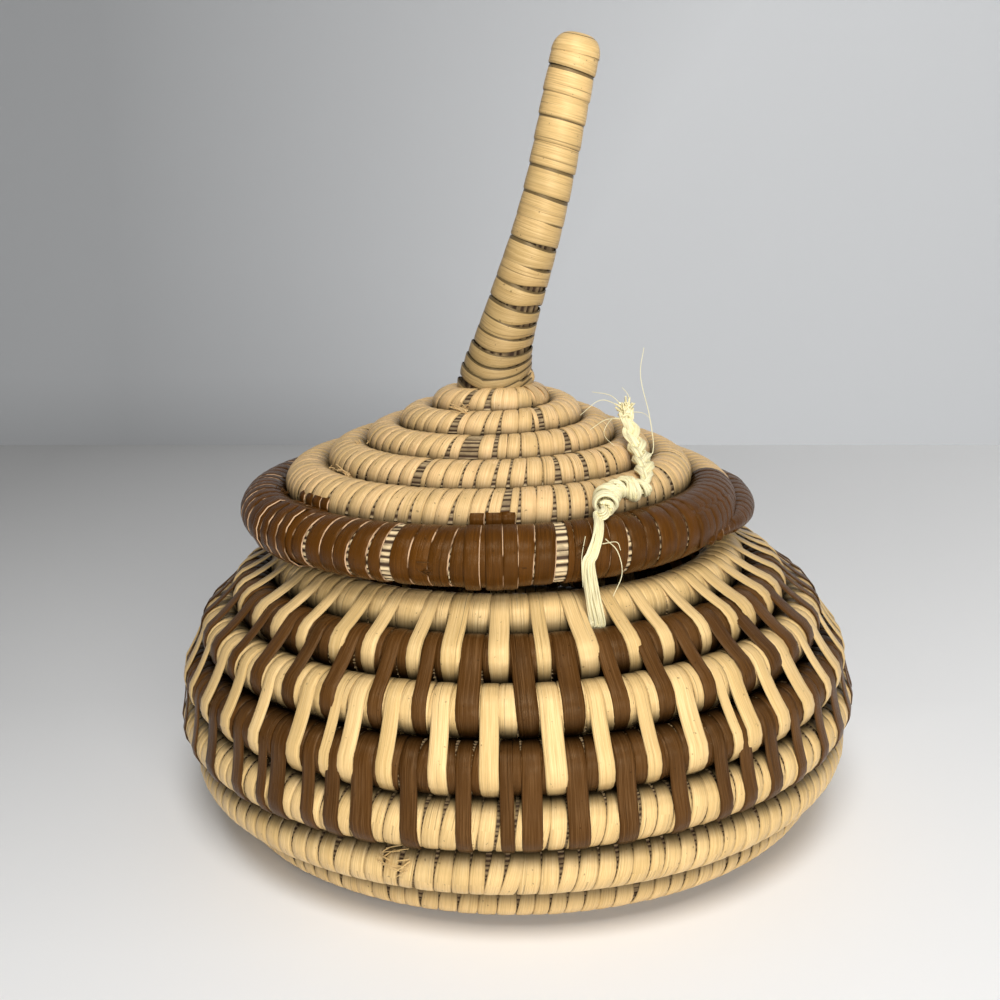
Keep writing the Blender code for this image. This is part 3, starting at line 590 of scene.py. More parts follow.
def handle_cap():
    """The handle's rounded end: a profile of distance from the axis and height, the quarter of an
    ellipse, turned about the handle's line, with a small closed disc at its middle."""
    sides = 40
    swing = np.linspace(0, 0.96, 12) * math.pi / 2
    low = 1 - 4.6 * MM / HANDLE_RISE
    share = low + (1 - low) * np.sin(swing)
    angle = np.arange(sides) * TURN / sides
    centre = handle_line(share)[:, None]
    rim = handle_oval(low, angle, 0.3 * MM) - handle_line(np.array([low]))
    shrink = np.cos(swing) ** 0.62
    points = centre + rim[None] * shrink[:, None, None]
    inner = handle_line(np.array([low + 0.01])) + rim * 0.8
    points = np.concatenate([inner[None], points])
    count = len(points)
    index = np.arange(count * sides).reshape(count, sides)
    here, there = index[:-1], index[1:]
    faces = np.stack([here, np.roll(here, -1, 1), np.roll(there, -1, 1), there], axis=-1).reshape(-1, 4)
    around = np.arange(sides) * 0.1
    v = np.linspace(0, 1.6, count)
    u = np.broadcast_to(np.stack([around, around + 0.1, around + 0.1, around], -1)[None], (count - 1, sides, 4))
    v = np.broadcast_to(np.stack([v[:-1], v[:-1], v[1:], v[1:]], -1)[:, None], (count - 1, sides, 4)) % 1.0
    uv = np.stack([u, v], -1).reshape(-1, 2)
    caps = [index[end][[i, i + 1, sides - 2 - i, sides - 1 - i]] for end in (0, -1) for i in range(sides // 2 - 1)]
    faces = np.concatenate([faces, np.array(caps)])
    uv = np.concatenate([uv, np.full((len(caps) * 4, 2), 0.5)])
    return points.reshape(-1, 3), faces, uv, np.full(count * sides, 0.4), np.ones(count * sides)


# The tie


def smooth_path(points, count):
    """Points evenly along the smooth line through the given ones: the Catmull-Rom cubic between each
    two, read at even steps of its running length."""
    points = np.asarray(points, float)
    ends = np.concatenate([2 * points[:1] - points[1:2], points, 2 * points[-1:] - points[-2:-1]])
    t = np.linspace(0, len(points) - 1, 40 * len(points))
    i = np.minimum(t.astype(int), len(points) - 2)
    f = (t - i)[:, None]
    a, b, c, d = (ends[i + k] for k in range(4))
    line = b + f / 2 * ((c - a) + f * ((2 * a - 5 * b + 4 * c - d) + f * (3 * (b - c) + d - a)))
    run = np.concatenate([[0.0], np.cumsum(np.linalg.norm(np.diff(line, axis=0), axis=1))])
    even = np.linspace(0, run[-1], count)
    return np.stack([np.interp(even, run, line[:, k]) for k in range(3)], axis=-1)


def on_lid(ring, azimuth, out):
    """A point off the lid at any ring, whole or between two, counted from the top one, 0."""
    upper = math.floor(ring) - azimuth / TURN
    part = ring - math.floor(ring)
    return lid_point(upper, out, 0.0) * (1 - part) + lid_point(upper + 1, out, 0.0) * part


# The tie's way: over the upper row, up the lid's rim, through the knot and up the lid's slope
TIE_ROW_AZIMUTH = math.radians(16.4)
TIE_ROW_PLACES = ((-91, -2.4), (-85, -0.8), (-78, 0.7), (-69, 1.15), (-58, 1.3))
TIE_RIM_AZIMUTHS = (18.0, 18.8, 20.2, 21.6, 22.7)
TIE_RIM_ANGLES = (-76, -52, -28, -4, 20)
TIE_LID_POINTS = ((17.36, -49.45, 81.4), (18.1, -43.0, 82.5), (19.95, -40.7, 84.03), (21.96, -38.73, 84.2),
                  (23.88, -38.25, 83.65), (25.92, -36.4, 83.1), (27.1, -33.8, 84.4), (27.31, -29.6, 86.1),
                  (26.9, -24.0, 87.9), (25.9, -20.2, 90.3), (24.9, -18.3, 92.9), (24.3, -17.2, 95.2),
                  (24.2, -16.2, 97.0))
TIE_KNOT_POINTS = (TIE_LID_POINTS[1], TIE_LID_POINTS[4])
TIE_PLAIT_POINT = TIE_LID_POINTS[5]
TIE_STATIONS = 260


def tie_way(stations=TIE_STATIONS):
    """The tie's centre line and the way out of the basket at each point of it, both smooth lines
    through points of the two coils' ovals and of the lid's slope."""
    row_turn = FRONT_TURN + ROWS - 1 + TIE_ROW_AZIMUTH / TURN
    points, outer = [], []
    for angle, lift in TIE_ROW_PLACES:
        points.append(body_oval(row_turn, math.radians(angle), lift * MM))
        outer.append(body_oval(row_turn, math.radians(angle), (lift + 1) * MM))
    for azimuth, angle in zip(np.radians(TIE_RIM_AZIMUTHS), np.radians(TIE_RIM_ANGLES)):
        turn = LID_RINGS - azimuth / TURN
        points.append(lid_oval(turn, angle, 1.3 * MM))
        outer.append(lid_oval(turn, angle, 2.3 * MM))
    middle = lid_point(0.0, 0.0, 0.0) * (1, 1, 0)
    for x, y, z in TIE_LID_POINTS:
        point = np.array([x, y, z]) * MM
        radial = unit((point - (middle[0], 0, 0)) * (1, 1, 0))
        points.append(point)
        outer.append(point + (0.5 * radial + (0, 0, 0.87)) * MM)
    line = smooth_path(points, stations)
    ahead = np.gradient(line, axis=0)
    outward = unit(smooth_path(np.array(outer) - np.array(points), stations))
    outward = unit(outward - unit(ahead) * np.sum(outward * unit(ahead), axis=-1, keepdims=True))
    run = np.concatenate([[0.0], np.cumsum(np.linalg.norm(np.diff(line, axis=0), axis=1))])
    return line, outward, run


def strands(line, outward, across_by, up_by, radius, rng):
    """Round strands along a line: each goes off it by its own distances across and outwards."""
    ahead = unit(np.gradient(line, axis=0))
    across = np.cross(outward, ahead)
    paths = line[None] + across[None] * across_by[..., None] + outward[None] * up_by[..., None]
    side = np.broadcast_to(across, paths.shape)
    radius = np.broadcast_to(radius, across_by.shape)
    return bands(paths, side, radius * 2, radius, False, rng.uniform(0, 1, (len(paths), 1)), 1.0, ROUND)


TIE_THREADS = 12
PLAIT_GROWS = 0.1
KNOT_HALF = 0.06
PLAIT_PITCH = 12.5 * MM


def share_near(line, share, point):
    """The share of a line's length at its point nearest to the one given in millimetres."""
    return float(share[np.argmin(np.linalg.norm(line - np.array(point) * MM, axis=1))])


def tie_threads(rng):
    """The tie's threads: side by side in a flat strand that spreads towards its lower end, then in
    three parts of a plait. A part sways across by a sine and in and out by the sine of twice the
    angle, a third of a turn after the last, and its threads lie round its middle."""
    line, outward, run = tie_way()
    share = run / run[-1]
    thread = np.arange(TIE_THREADS)[:, None]
    plait_from = share_near(line, share, TIE_PLAIT_POINT)
    plait_full = plait_from + PLAIT_GROWS
    spread = np.interp(share, (0, 0.16, 0.3, plait_full), (1.75, 1.45, 1.05, 1.0)) * MM
    wave = rng.uniform(0, TURN, thread.shape)
    flat = spread * ((thread + 0.5) / TIE_THREADS * 2 - 1) + 0.12 * MM * np.sin(share * 26 + wave)
    raised = 0.2 * MM * np.sqrt(np.clip(1 - (flat / spread) ** 2, 0, 1)) + 0.26 * MM * np.sin(share * 19 + 2.4 * thread)
    phase = run / PLAIT_PITCH * TURN + (thread % 3) * TURN / 3
    turn_about = phase * 0.6 + (thread // 3) * TURN / 4
    swayed = 1.3 * MM * np.sin(phase) + 0.55 * MM * np.cos(turn_about)
    lifted = 0.5 * MM * np.sin(2 * phase) + 0.48 * MM * np.sin(turn_about)
    mixed = np.interp(share, (plait_from, plait_full), (0, 1))
    closing = np.interp(share, (0.93, 1.0), (1.0, 0.75))
    across_by = (flat * (1 - mixed) + swayed * mixed) * closing
    up_by = (raised * (1 - mixed) + lifted * mixed) * closing
    radius = np.interp(share, (0, 0.1, plait_from, plait_full, 1), (0.2, 0.24, 0.26, 0.54, 0.44)) * MM
    return strands(line, outward, across_by, up_by, radius, rng), line


def knot_loops(rng):
    """The knot: pairs of threads wound round the tie where it bends on the lid's last ring, along two
    humps. Each goes round in a circle about the line while it moves on, and the circle swells in the
    middle of its hump."""
    line, outward, run = tie_way()
    share = run / run[-1]
    parts = []
    for point, turns, size, threads in zip(TIE_KNOT_POINTS, (2.7, 2.6), (2.3, 2.1), (7, 7)):
        at = share_near(line, share, point)
        chosen = np.linspace(at - KNOT_HALF, at + KNOT_HALF, 110)
        centre = np.stack([np.interp(chosen, share, line[:, k]) for k in range(3)], axis=-1)
        out = unit(np.stack([np.interp(chosen, share, outward[:, k]) for k in range(3)], axis=-1))
        t = np.linspace(0, 1, 110)
        offset = np.arange(threads)[:, None]
        angle = t * turns * TURN + offset * 0.5 + rng.uniform(0, 0.3, (threads, 1))
        radius = size * MM * (0.6 + 0.45 * np.sin(math.pi * t)) + rng.normal(0, 0.2, (threads, 1)) * MM
        parts.append(strands(centre, out, radius * np.cos(angle), 0.9 * radius * np.sin(angle),
                             0.38 * MM, rng))
    return joined(parts)


def hair_tubes(paths, radius, rng, stations=14):
    """Thin tubes along smooth lines through the given points, thinning to their ends."""
    lines = np.stack([smooth_path(np.array(path) * MM, stations) for path in paths])
    upright = np.broadcast_to(np.array([0.0, 0.3, 1.0]), lines.shape)
    side = np.cross(upright, np.gradient(lines, axis=1)) + 1e-9
    radius = radius * np.linspace(1, 0.55, stations) * rng.uniform(0.75, 1.2, (len(lines), 1))
    return bands(lines, side, radius * 2, radius, False, rng.uniform(0, 1, (len(lines), 1)), 1.0, ROUND)


def tuft_hairs(rng):
    """The frayed end of the plait: short threads that fan out from its last point."""
    count = 64
    start = np.array(TIE_LID_POINTS[-2]) + rng.normal(0, 0.6, (count, 3))
    towards = unit(np.array([-0.15, 0.1, 0.9]) + rng.normal(0, 0.26, (count, 3)))
    length = rng.uniform(2.0, 3.3, (count, 1))
    middle = start + towards * length * 0.55 + rng.normal(0, 0.2, (count, 3))
    end = start + towards * length + rng.normal(0, 0.6, (count, 3)) + np.array([0.2, -0.1, -0.4])
    return hair_tubes(np.stack([start, middle, end], axis=1), 0.34 * MM, rng, 7)


# Long loose hairs of the tie, from the plait's end and the knot
LOOSE_HAIRS = (
    ((24.0, -17.0, 96.0), (21.5, -19.5, 98.4), (17.8, -22.5, 99.6), (13.6, -25.0, 96.8)),
    ((24.2, -17.0, 96.4), (20.8, -17.5, 99.8), (16.4, -20.5, 101.2)),
    ((24.5, -16.6, 96.0), (27.5, -18.2, 96.2), (29.3, -19.5, 95.2)),
    ((23.6, -17.5, 95.0), (20.5, -22.5, 95.4), (18.6, -27.5, 93.2), (20.6, -30.5, 91.2)),
    ((23.4, -18.0, 94.8), (19.4, -21.5, 95.2), (15.8, -25.5, 93.8)),
    ((26.6, -30.5, 88.2), (29.2, -28.0, 89.6), (28.9, -22.0, 96.0), (27.3, -16.0, 104.0), (28.2, -13.4, 110.0)),
    ((24.4, -16.8, 97.0), (24.8, -15.2, 99.4), (23.4, -14.2, 101.2)),
    ((17.4, -54.4, 77.4), (19.6, -57.0, 75.6), (20.4, -58.6, 71.6), (18.6, -60.4, 67.6)),
    ((16.8, -55.0, 76.6), (19.4, -56.6, 77.4), (20.2, -56.8, 75.8)),
    ((13.4, -54.6, 78.0), (12.6, -57.0, 74.0), (12.8, -59.0, 69.0)),
)


# Frayed spots


def on_coil(coil, turn, angle_deg, lift):
    """A point and the way out of the coil there."""
    angle = math.radians(angle_deg)
    point = coil.oval(turn, angle, lift)
    return point, unit(coil.oval(turn, angle, lift + MM) - point)


def frays(coil, spots, rng):
    """Torn fibres at spots of a coil: thin tubes that leave the strip along the coil and curl away
    from it. A spot is a turn count, an angle, a number, a length and the side to which they point."""
    paths = []
    for turn, angle, count, length, hand in spots:
        point, out = on_coil(coil, turn, angle, 0.35 * MM)
        ahead = unit(coil.oval(turn + 1e-3, math.radians(angle), 0.0) - coil.oval(turn - 1e-3, math.radians(angle), 0.0))
        across = np.cross(out, ahead)
        start = point / MM + ahead * rng.normal(0, 0.7, (count, 1)) + across * rng.normal(0, 0.9, (count, 1))
        reach = rng.uniform(0.5, 1.0, (count, 1)) * length
        way = unit(ahead * hand + across * rng.normal(0, 0.5, (count, 1)) + out * rng.uniform(0.1, 0.5, (count, 1)))
        middle = start + way * reach * 0.5 + out * rng.uniform(0.1, 0.5, (count, 1))
        end = start + way * reach + out * rng.uniform(-0.4, 0.5, (count, 1)) * reach * 0.3
        paths.append(np.stack([start, middle, end], axis=1))
    return hair_tubes(np.concatenate(paths), 0.15 * MM, rng, 7)


# Materials


class Tree:
    """A material's node tree with short calls to add and link nodes."""

    def __init__(self, name):
        self.material = bpy.data.materials.new(name)
        self.material.use_nodes = True
        self.tree = self.material.node_tree
        self.shader = self.tree.nodes["Principled BSDF"]

    def add(self, kind, **inputs):
        """A node of that kind; a word names an input, with _ for a space, and takes a socket or value."""
        node = self.tree.nodes.new(kind)
        for key, value in inputs.items():
            self.set(node, key.replace("_", " ").title(), value)
        return node

    def set(self, node, key, value):
        """Links a socket to an input, or gives the input a plain value."""
        socket = node.inputs[key]
        if isinstance(value, bpy.types.NodeSocket):
            self.tree.links.new(value, socket)
        else:
            socket.default_value = value

    def math(self, operation, a, b=0.0, c=0.0):
        node = self.tree.nodes.new("ShaderNodeMath")
        node.operation = operation
        for i, value in enumerate((a, b, c)):
            self.set(node, i, value)
        return node.outputs[0]

    def mix(self, factor, a, b, blend="MIX"):
        """Two colours mixed."""
        node = self.tree.nodes.new("ShaderNodeMix")
        node.data_type = "RGBA"
        node.blend_type = blend
        self.set(node, 0, factor)
        self.set(node, 6, a if isinstance(a, bpy.types.NodeSocket) else (*a, 1.0))
        self.set(node, 7, b if isinstance(b, bpy.types.NodeSocket) else (*b, 1.0))
        return node.outputs[2]

    def noise(self, vector, scale=1.0, detail=2.0, roughness=0.5):
        node = self.add("ShaderNodeTexNoise", vector=vector, scale=scale, detail=detail, roughness=roughness)
        return node.outputs[0]

    def ramp(self, value, low, high, start=0.0, end=1.0):
        """The value stretched so that low gives start and high gives end, and no further."""
        node = self.add("ShaderNodeMapRange", value=value, from_min=low, from_max=high, to_min=start, to_max=end)
        return node.outputs[0]

    def attribute(self, name):
        node = self.tree.nodes.new("ShaderNodeAttribute")
        node.attribute_name = name
        return node.outputs["Fac"]

    def object_point(self):
        return self.tree.nodes.new("ShaderNodeTexCoord").outputs["Object"]

    def strip_vector(self, along, across):
        """Texture space that runs with a strip: along it, across it and off by its tint."""
        uv = self.tree.nodes.new("ShaderNodeUVMap")
        uv.uv_map = "strip"
        parts = self.add("ShaderNodeSeparateXYZ", vector=uv.outputs[0])
        joint = self.tree.nodes.new("ShaderNodeCombineXYZ")
        self.set(joint, 0, self.math("MULTIPLY", parts.outputs[0], along))
        self.set(joint, 1, self.math("MULTIPLY", parts.outputs[1], across))
        self.set(joint, 2, self.math("MULTIPLY", self.attribute("tint"), 37.0))
        return joint.outputs[0], parts.outputs[1]

    def bump(self, height, strength, distance):
        node = self.add("ShaderNodeBump", height=height, strength=strength, distance=distance)
        self.set(self.shader, "Normal", node.outputs[0])


def shaded(colour, share):
    return tuple(c * share for c in colour)


SHEEN_TINT = (1.0, 0.76, 0.48, 1.0)


def leaf_look(name, colour, tones, fibre, roughness, contrast, specular=0.5, edge=None, dive=0.03, under=None):
    """Dried leaf: a tone for each strip between the two given, fine fibres along it, broad lighter and
    darker stretches, now and then a dark split or a brown spot, dirt and painted shade along both
    edges, and painted shade where the strip dives into a groove, down to dive. Where edge is given,
    a broken pale line runs along one edge, and under is the share of the width at the other edge that holds a painted
    shadow of the next strip."""
    t = Tree(name)
    fine, across = t.strip_vector(1.0, 22.0)
    fibres = t.noise(fine, 1.0, 3.0, 0.6)
    broad = t.noise(t.strip_vector(0.8, 1.6)[0], 1.0, 2.0)
    slits = t.noise(t.strip_vector(0.22, 13.0)[0], 1.0, 1.0)
    spots = t.noise(t.object_point(), 1150.0, 1.0)
    blotches = t.noise(t.object_point(), 55.0, 2.0)
    base = t.mix(t.attribute("tint"), tones[0], tones[1])
    base = t.mix(t.ramp(fibres, 0.46, 0.66, 0.0, contrast), base, fibre)
    base = t.mix(t.ramp(fibres, 0.52, 0.34, 0.0, contrast), base, shaded(colour, 0.60))
    base = t.mix(t.ramp(broad, 0.42, 0.72, 0.0, 0.45), base, shaded(colour, 0.80))
    base = t.mix(t.ramp(blotches, 0.55, 0.75, 0.0, 0.3), base, shaded(colour, 0.82))
    base = t.mix(t.ramp(slits, 0.68, 0.73, 0.0, 0.6), base, shaded(colour, 0.32))
    base = t.mix(t.ramp(spots, 0.735, 0.765, 0.0, 0.75), base, shaded(colour, 0.36))
    # Dirt and painted shade along both edges, where one strip meets the next
    side = t.math("ABSOLUTE", t.math("MULTIPLY_ADD", across, 2.0, -1.0))
    base = t.mix(t.ramp(side, 0.86, 1.0, 0.0, 0.8), base, shaded(colour, 0.42))
    if edge:
        broken = t.ramp(t.noise(t.strip_vector(1.6, 0.0)[0], 1.0, 2.0), 0.44, 0.52)
        line = t.math("MULTIPLY", t.math("GREATER_THAN", across, 0.95), broken)
        base = t.mix(line, base, edge)
    if under:
        # Painted shadow of the next strip's edge: a dark line along this edge
        reach = t.math("MULTIPLY_ADD", t.noise(t.strip_vector(0.5, 0.0)[0], 1.0, 2.0), 0.16, under - 0.08)
        shadow_line = t.math("MULTIPLY", t.math("LESS_THAN", across, reach), 0.85)
        base = t.mix(shadow_line, base, shaded(colour, 0.12))
    # Painted shade from the shade attribute: the colour falls towards black, down to dive where it is 0
    shade = t.ramp(t.attribute("shade"), 0.0, 1.0, dive, 1.0)
    base = t.mix(shade, shaded(colour, 0.0), base)
    t.set(t.shader, "Base Color", base)
    t.set(t.shader, "Roughness", t.ramp(fibres, 0.3, 0.7, roughness + 0.08, roughness - 0.06))
    t.shader.inputs["Specular IOR Level"].default_value = specular
    t.shader.inputs["Specular Tint"].default_value = SHEEN_TINT
    t.bump(t.math("SUBTRACT", fibres, t.ramp(slits, 0.68, 0.73, 0.0, 0.5)), 0.7, 0.14 * MM)
    return t.material


def grass_look(name, dark, pale, line):
    """Bundled dry stalks: from dark to pale by the bundle's tint, streaks along each stalk and near
    black painted shade in the valleys between them."""
    t = Tree(name)
    streaks = t.noise(t.strip_vector(0.5, 90.0)[0], 1.0, 3.0, 0.6)
    patches = t.noise(t.object_point(), 420.0, 2.0)
    base = t.mix(t.attribute("tint"), dark, pale)
    base = t.mix(t.ramp(streaks, 0.38, 0.68, 0.0, 0.5), base, line)
    base = t.mix(t.ramp(patches, 0.45, 0.7, 0.0, 0.45), base, line)
    # Painted shade: near black in the valleys between stalks, from the shade attribute
    base = t.mix(t.ramp(t.attribute("shade"), 0.22, 0.62), line, base)
    t.set(t.shader, "Base Color", base)
    t.shader.inputs["Roughness"].default_value = 0.8
    t.bump(streaks, 0.5, 0.15 * MM)
    return t.material


def fibre_look(name, colour):
    """Pale leaf fibre: fine threads along each strand, greener and browner in places."""
    t = Tree(name)
    threads = t.noise(t.strip_vector(1.6, 7.0)[0], 1.0, 3.0, 0.6)
    patches = t.noise(t.object_point(), 260.0, 2.0)
    base = t.mix(t.ramp(threads, 0.36, 0.66), shaded(colour, 0.72), shaded(colour, 1.1))
    base = t.mix(t.ramp(t.attribute("tint"), 0.4, 1.0, 0.0, 0.35), base, (0.70, 0.62, 0.28))
    base = t.mix(t.ramp(patches, 0.52, 0.72, 0.0, 0.35), base, shaded(colour, 0.62))
    t.set(t.shader, "Base Color", base)
    t.shader.inputs["Roughness"].default_value = 0.55
    t.bump(threads, 0.5, 0.1 * MM)
    return t.material


def look(name):
    """The material of that name, made at its first use from the colours in the sidebar."""
    found = bpy.data.materials.get(name)
    if found:
        return found
    colours = bpy.context.scene.basket_colours
    natural, brown, grass = tuple(colours.natural), tuple(colours.brown), tuple(colours.grass)
    if name == "natural leaf":
        return leaf_look(name, natural, ((0.81, 0.545, 0.235), (0.68, 0.44, 0.165)), (0.89, 0.68, 0.36), 0.36, 0.5, 0.6)
    if name == "lid leaf":
        return leaf_look(name, natural, ((0.79, 0.50, 0.225), (0.68, 0.44, 0.18)), (0.88, 0.65, 0.36), 0.38, 0.6, 0.5)
    if name == "handle leaf":
        return leaf_look(name, natural, ((0.72, 0.47, 0.19), (0.68, 0.45, 0.175)), (0.86, 0.62, 0.30), 0.36, 0.6, 0.5,
                         under=0.14)
    if name == "brown leaf":
        return leaf_look(name, brown, ((0.098, 0.040, 0.009), (0.048, 0.018, 0.003)), (0.18, 0.088, 0.030), 0.33, 0.6,
                         0.18)
    if name == "rim leaf":
        return leaf_look(name, brown, ((0.088, 0.030, 0.003), (0.050, 0.017, 0.0015)), (0.16, 0.062, 0.012), 0.28, 0.5,
                         0.16, edge=(0.56, 0.36, 0.21))
    if name == "grass":
        # The grass's dark tone, at 0.40 of its colour, also stands in for painted shade in the body's grooves
        return grass_look(name, shaded(grass, 0.40), (0.84, 0.64, 0.36), (0.05, 0.022, 0.006))
    return fibre_look(name, tuple(colours.fibre))


def place(obj, body, slot, *nodes):
    """Puts a piece on its body and hides the solids that it stands for. The slot is not used."""
    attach(obj, body)
    if nodes:
        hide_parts(*nodes)


# The rows' strips


def top_azimuths(count, rng):
    """Azimuths of the top row's long stitches, in turns from the front, nearly even."""
    marks = (np.arange(count) + 0.5 + rng.uniform(-0.13, 0.13, count)) / count - 0.5
    return marks


def next_azimuths(azimuths, rng):
    """One stitch about midway between each two of the row above, and two in its three widest gaps,
    because the rows below are longer."""
    gaps = np.diff(np.append(azimuths, azimuths[0] + 1.0))
    wide = np.argsort(gaps)[-3:]
    share = rng.uniform(0.43, 0.57, len(azimuths))
    share[wide] = 0.3
    marks = np.concatenate([azimuths + gaps * share, azimuths[wide] + gaps[wide] * 0.7])
    return np.sort((marks + 0.5) % 1.0 - 0.5)


ROW_COLOURS = {1: "natural", 2: "brown", 3: "natural", 4: "brown"}
SHORT_WRAP = 3.2 * MM


def patterned_row(row, azimuths, strips, rng):
    """A row of the pattern: long stitches over it and the row below, and short wraps of its own colour
    that fill each gap between two of them, and two before the first of them. A wrap lies under each
    long stitch too, where it spans the groove."""
    turn = FRONT_TURN + ROWS - row
    length = TURN * float(body_line(float(turn))[0])
    gaps = np.diff(np.append(azimuths, azimuths[0] + 1.0)) * length
    widths = np.minimum(strips.stitch_width * rng.uniform(0.72, 1.18, len(azimuths)), gaps * 0.6)
    room = gaps - (widths + np.roll(widths, -1)) * 0.47
    counts = np.maximum(np.round(room / SHORT_WRAP), 1).astype(int)
    keep = azimuths + turn < COIL_TURNS - 0.03
    at, short = [], []
    for count in range(1, counts.max() + 1):
        chosen = (counts == count) & keep
        for k in range(count):
            run = widths[chosen] * 0.47 + room[chosen] * (k + 0.5) / count
            at.append(azimuths[chosen] + run / length)
            short.append(room[chosen] / count)
    at, short = np.concatenate(at), np.concatenate(short)
    short = short * (rng.uniform(1.12, 1.2, len(short)) if row == 1 else rng.uniform(0.94, 1.1, len(short)))
    before = azimuths[0] - np.array([2.2, 5.2]) * MM / length
    at, short = np.append(at, before), np.append(short, [3.4 * MM, 3.2 * MM])
    inside = turn + at < COIL_TURNS - 0.02
    parts = [wraps(BODY, (turn + at)[inside], short[inside], 0.02 * MM, strips.thickness, rng,
                   open_side=1 if row == 1 else 0)]
    parts.append(wraps(BODY, (turn + azimuths)[keep], widths[keep] * 1.1, -0.27 * MM, strips.thickness, rng))
    parts.append(long_stitches(BODY, STITCH_KNOTS, (turn + azimuths)[keep], widths[keep], 0.05 * MM,
                               strips.thickness, 0.8 * MM, rng))
    colour = ROW_COLOURS[row]
    obj = put_mesh(f"{colour}_strips_row_{row}", joined(parts), look(f"{colour} leaf"))
    place(obj, "basket", f"{colour}_strip", f"{colour}_binding_row_{row}")


def plain_rows(strips, rng):
    """Rows 5 to 7 and the base: plain wraps side by side."""
    for row in (5, 6, 7):
        turn = FRONT_TURN + ROWS - row
        at, widths = cells(BODY, turn - 0.5, turn + 0.5, strips.wrap_width, 0.16, rng)
        widths = loosened(widths, rng, 0.08)
        piece = wraps(BODY, at, widths, 0.02 * MM, strips.thickness, rng, slant=0.7 * MM)
        obj = put_mesh(f"natural_strips_row_{row}", piece, look("natural leaf"))
        place(obj, "basket", "natural_strip", f"natural_binding_row_{row}")
    at, widths = cells(BODY, 0.06, FRONT_TURN - 0.5, strips.wrap_width, 0.16, rng)
    piece = wraps(BODY, at, loosened(widths, rng, 0.1), 0.02 * MM, strips.thickness, rng, stations=14)
    obj = put_mesh("natural_strips_base", piece, look("natural leaf"))
    place(obj, "basket", "natural_strip")


# Where the grass of the lid shows: turn counts, and gaps along the coil in millimetres
RING_OPENINGS = ((3.07, 1.2), (2.03, 1.5), (1.07, 1.3), (0.08, 1.3), (0.02, 0.8), (3.99, 0.7), (2.94, 0.9),
                 (2.91, 1.0), (2.0, 0.6), (0.92, 0.7), (3.84, 1.0), (3.78, 0.9), (2.2, 0.5), (1.9, 0.6),
                 (1.45, 0.7), (2.6, 0.7), (3.45, 0.6), (3.3, 0.5))
RIM_OPENINGS = ((5.06, 0.8), (4.96, 0.9), (5.4, 0.6), (5.62, 0.7))
RIM_FROM = LID_RINGS - LID_RIM_TURNS
RING_WRAP_SHARE = 0.97


def spread_openings(openings):
    return [(turn, gap * MM) for turn, gap in openings]


def lid_ring_strips(strips, rng):
    """The lid's natural wraps, ring by ring out from the handle."""
    for ring in range(LID_RINGS):
        first = -LID_START_TURNS + 0.03 if ring == 0 else ring - 0.5
        last = RIM_FROM if ring == LID_RINGS - 1 else ring + 0.5
        width = strips.lid_width * (1.18 if ring == 0 else 1.0)
        at, widths = cells(LID, first, last, width, 0.36 if ring == 0 else 0.2, rng)
        widths = loosened(widths, rng, 0.16)
        at, widths = opened(LID, at, widths, spread_openings(RING_OPENINGS))
        piece = wraps(LID, at, widths * RING_WRAP_SHARE, 0.02 * MM, strips.thickness, rng, slant=0.8 * MM)
        obj = put_mesh(f"natural_strips_lid_ring_{ring + 1}", piece, look("lid leaf"))
        place(obj, "lid", "natural_strip", f"natural_binding_lid_ring_{ring + 1}")
    obj = put_mesh("handle_foot_strap", foot_strap(strips.thickness, rng), look("lid leaf"))
    place(obj, "lid", "natural_strip")


def foot_strap(thickness, rng):
    """Three strips side by side from the handle's right side down over the top ring, as smooth lines
    through a point of the handle and points of the ring's oval."""
    lines, sides = [], []
    for turn, start in ((-0.235, 22), (-0.185, 2), (-0.135, -20)):
        points = [handle_oval(0.06, math.radians(start), -0.6 * MM), handle_oval(0.02, math.radians(start), 0.3 * MM)]
        spread = []
        for angle, lift in ((66, 0.9), (36, 0.7), (6, 0.6), (-24, 0.6), (-54, 0.4), (-84, 0.2), (-112, -0.5)):
            points.append(lid_oval(turn, math.radians(angle), lift * MM))
            spread.append(lid_oval(turn + 0.01, math.radians(angle), 0.0) - lid_oval(turn - 0.01, math.radians(angle), 0.0))
        lines.append(smooth_path(points, 26))
        sides.append(smooth_path([spread[0]] * 2 + spread, 26))
    width = np.array([[2.9], [2.5], [2.7]]) * MM * np.interp(np.linspace(0, 1, 26), (0, 0.2, 0.6, 1), (0.7, 0.9, 1.1, 0.9))
    # The strap is darkened to 0.8 through the shade attribute, as the handle's foot is
    return bands(np.array(lines), -np.array(sides), width, thickness, False, rng.uniform(0, 1, (3, 1)), 0.8)


# Stitches that bind the coil's end to the turn inside it, by that turn's count, and wraps of the rim
# that reach over the ring above it, by that ring's turn count and their width in millimetres
END_STITCHES = (4.814, 4.824, 4.834, 4.844, 4.854, 4.862)
REACHING_WRAPS = ((4.013, 3.2), (4.002, 3.5), (3.991, 3.0), (4.136, 2.9), (4.146, 3.3), (4.157, 3.0), (4.167, 2.7))


